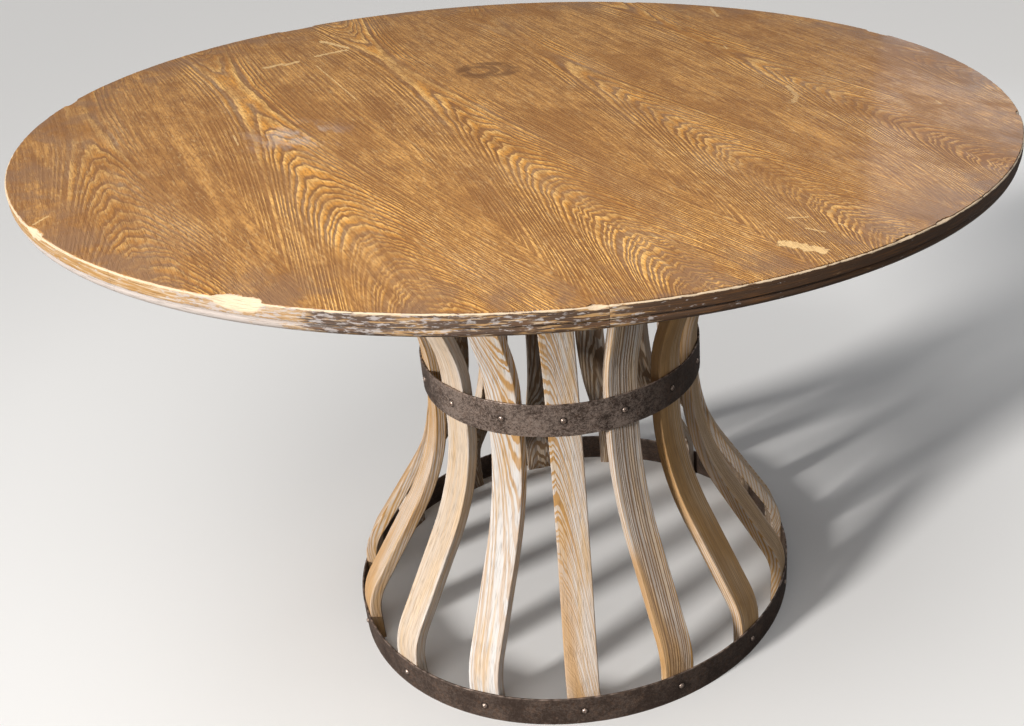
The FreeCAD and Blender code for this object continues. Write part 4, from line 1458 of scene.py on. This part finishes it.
class BARREL_OT_screws(bpy.types.Operator):
    """Drive the screws through the hoops, the stave heads and the mounting disc"""
    bl_idname = "barrel.screws"
    bl_label = "Screws"
    bl_options = {"REGISTER", "UNDO"}

    def execute(self, context):
        steel = context.scene.barrel_table.steel
        material = steel_material(steel, "screw_steel", shine=0.5, polish=0.5)
        for node, shank in (("base_hoop_screws", steel.hoop_screw_length),
                            ("waist_hoop_screws", steel.hoop_screw_length),
                            ("stave_head_screws", steel.head_screw_length)):
            low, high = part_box(node)
            seat = radial_seat(-low.y - steel.pan_height, (low.z + high.z) / 2)
            mesh = screw_ring("driven_" + node, STAVE_COUNT, shank, steel, seat)
            new_piece("driven_" + node, mesh, material, "screw_steel", node)
        low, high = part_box("top_screws")
        seat = upright_seat(-low.y - steel.pan_diameter / 2, DISC_LOW.z)
        mesh = screw_ring("driven_top_screws", steel.top_screw_count, high.z - DISC_LOW.z, steel, seat)
        new_piece("driven_top_screws", mesh, material, "screw_steel", "top_screws")
        return {"FINISHED"}


class BARREL_OT_boards(bpy.types.Operator):
    """Finish the core, its backing and the mounting disc"""
    bl_idname = "barrel.boards"
    bl_label = "Hidden boards"
    bl_options = {"REGISTER", "UNDO"}

    def execute(self, context):
        top = context.scene.barrel_table.top
        finishes = (("top_core", plywood_material(top, "core_plywood", top.core_tone)),
                    ("backing_veneer", plywood_material(top, "backing_sheet", top.backing_tone)),
                    ("mounting_disc", plywood_material(top, "disc_plywood", top.disc_tone)))
        for node, material in finishes:
            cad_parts[node].data.materials.clear()
            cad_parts[node].data.materials.append(material)
        return {"FINISHED"}


class BARREL_OT_stage(bpy.types.Operator):
    """Set the camera, the floor and the lights"""
    bl_idname = "barrel.stage"
    bl_label = "Stage"
    bl_options = {"REGISTER", "UNDO"}

    def execute(self, context):
        stage = context.scene.barrel_table.stage
        make_camera(stage)
        make_floor(stage)
        make_lights(stage)
        make_sky(stage)
        return {"FINISHED"}


OPERATORS = (BARREL_OT_leaves, BARREL_OT_rim, BARREL_OT_staves, BARREL_OT_hoops, BARREL_OT_screws,
             BARREL_OT_boards, BARREL_OT_stage)


class BARREL_PT_table(bpy.types.Panel):
    """Lists the table's pieces and settings"""
    bl_idname = "BARREL_PT_table"
    bl_label = "Barrel Table"
    bl_space_type = "VIEW_3D"
    bl_region_type = "UI"
    bl_category = "Barrel Table"

    def draw(self, context):
        for operator in OPERATORS:
            self.layout.operator(operator.bl_idname)
        table = context.scene.barrel_table
        for settings in (table.top, table.staves, table.steel, table.stage):
            box = self.layout.box()
            for name in settings.__annotations__:
                box.prop(settings, name)


CLASSES = (BARREL_PG_top, BARREL_PG_staves, BARREL_PG_steel, BARREL_PG_stage, BARREL_PG_table,
           *OPERATORS, BARREL_PT_table)


def register():
    for item in CLASSES:
        bpy.utils.register_class(item)
    bpy.types.Scene.barrel_table = PointerProperty(type=BARREL_PG_table)


def unregister():
    del bpy.types.Scene.barrel_table
    for item in reversed(CLASSES):
        bpy.utils.unregister_class(item)


def main():
    register()
    bpy.ops.barrel.leaves()
    bpy.ops.barrel.rim()
    bpy.ops.barrel.staves()
    bpy.ops.barrel.hoops()
    bpy.ops.barrel.screws()
    bpy.ops.barrel.boards()
    bpy.ops.barrel.stage()


if __name__ == "__main__":
    main()
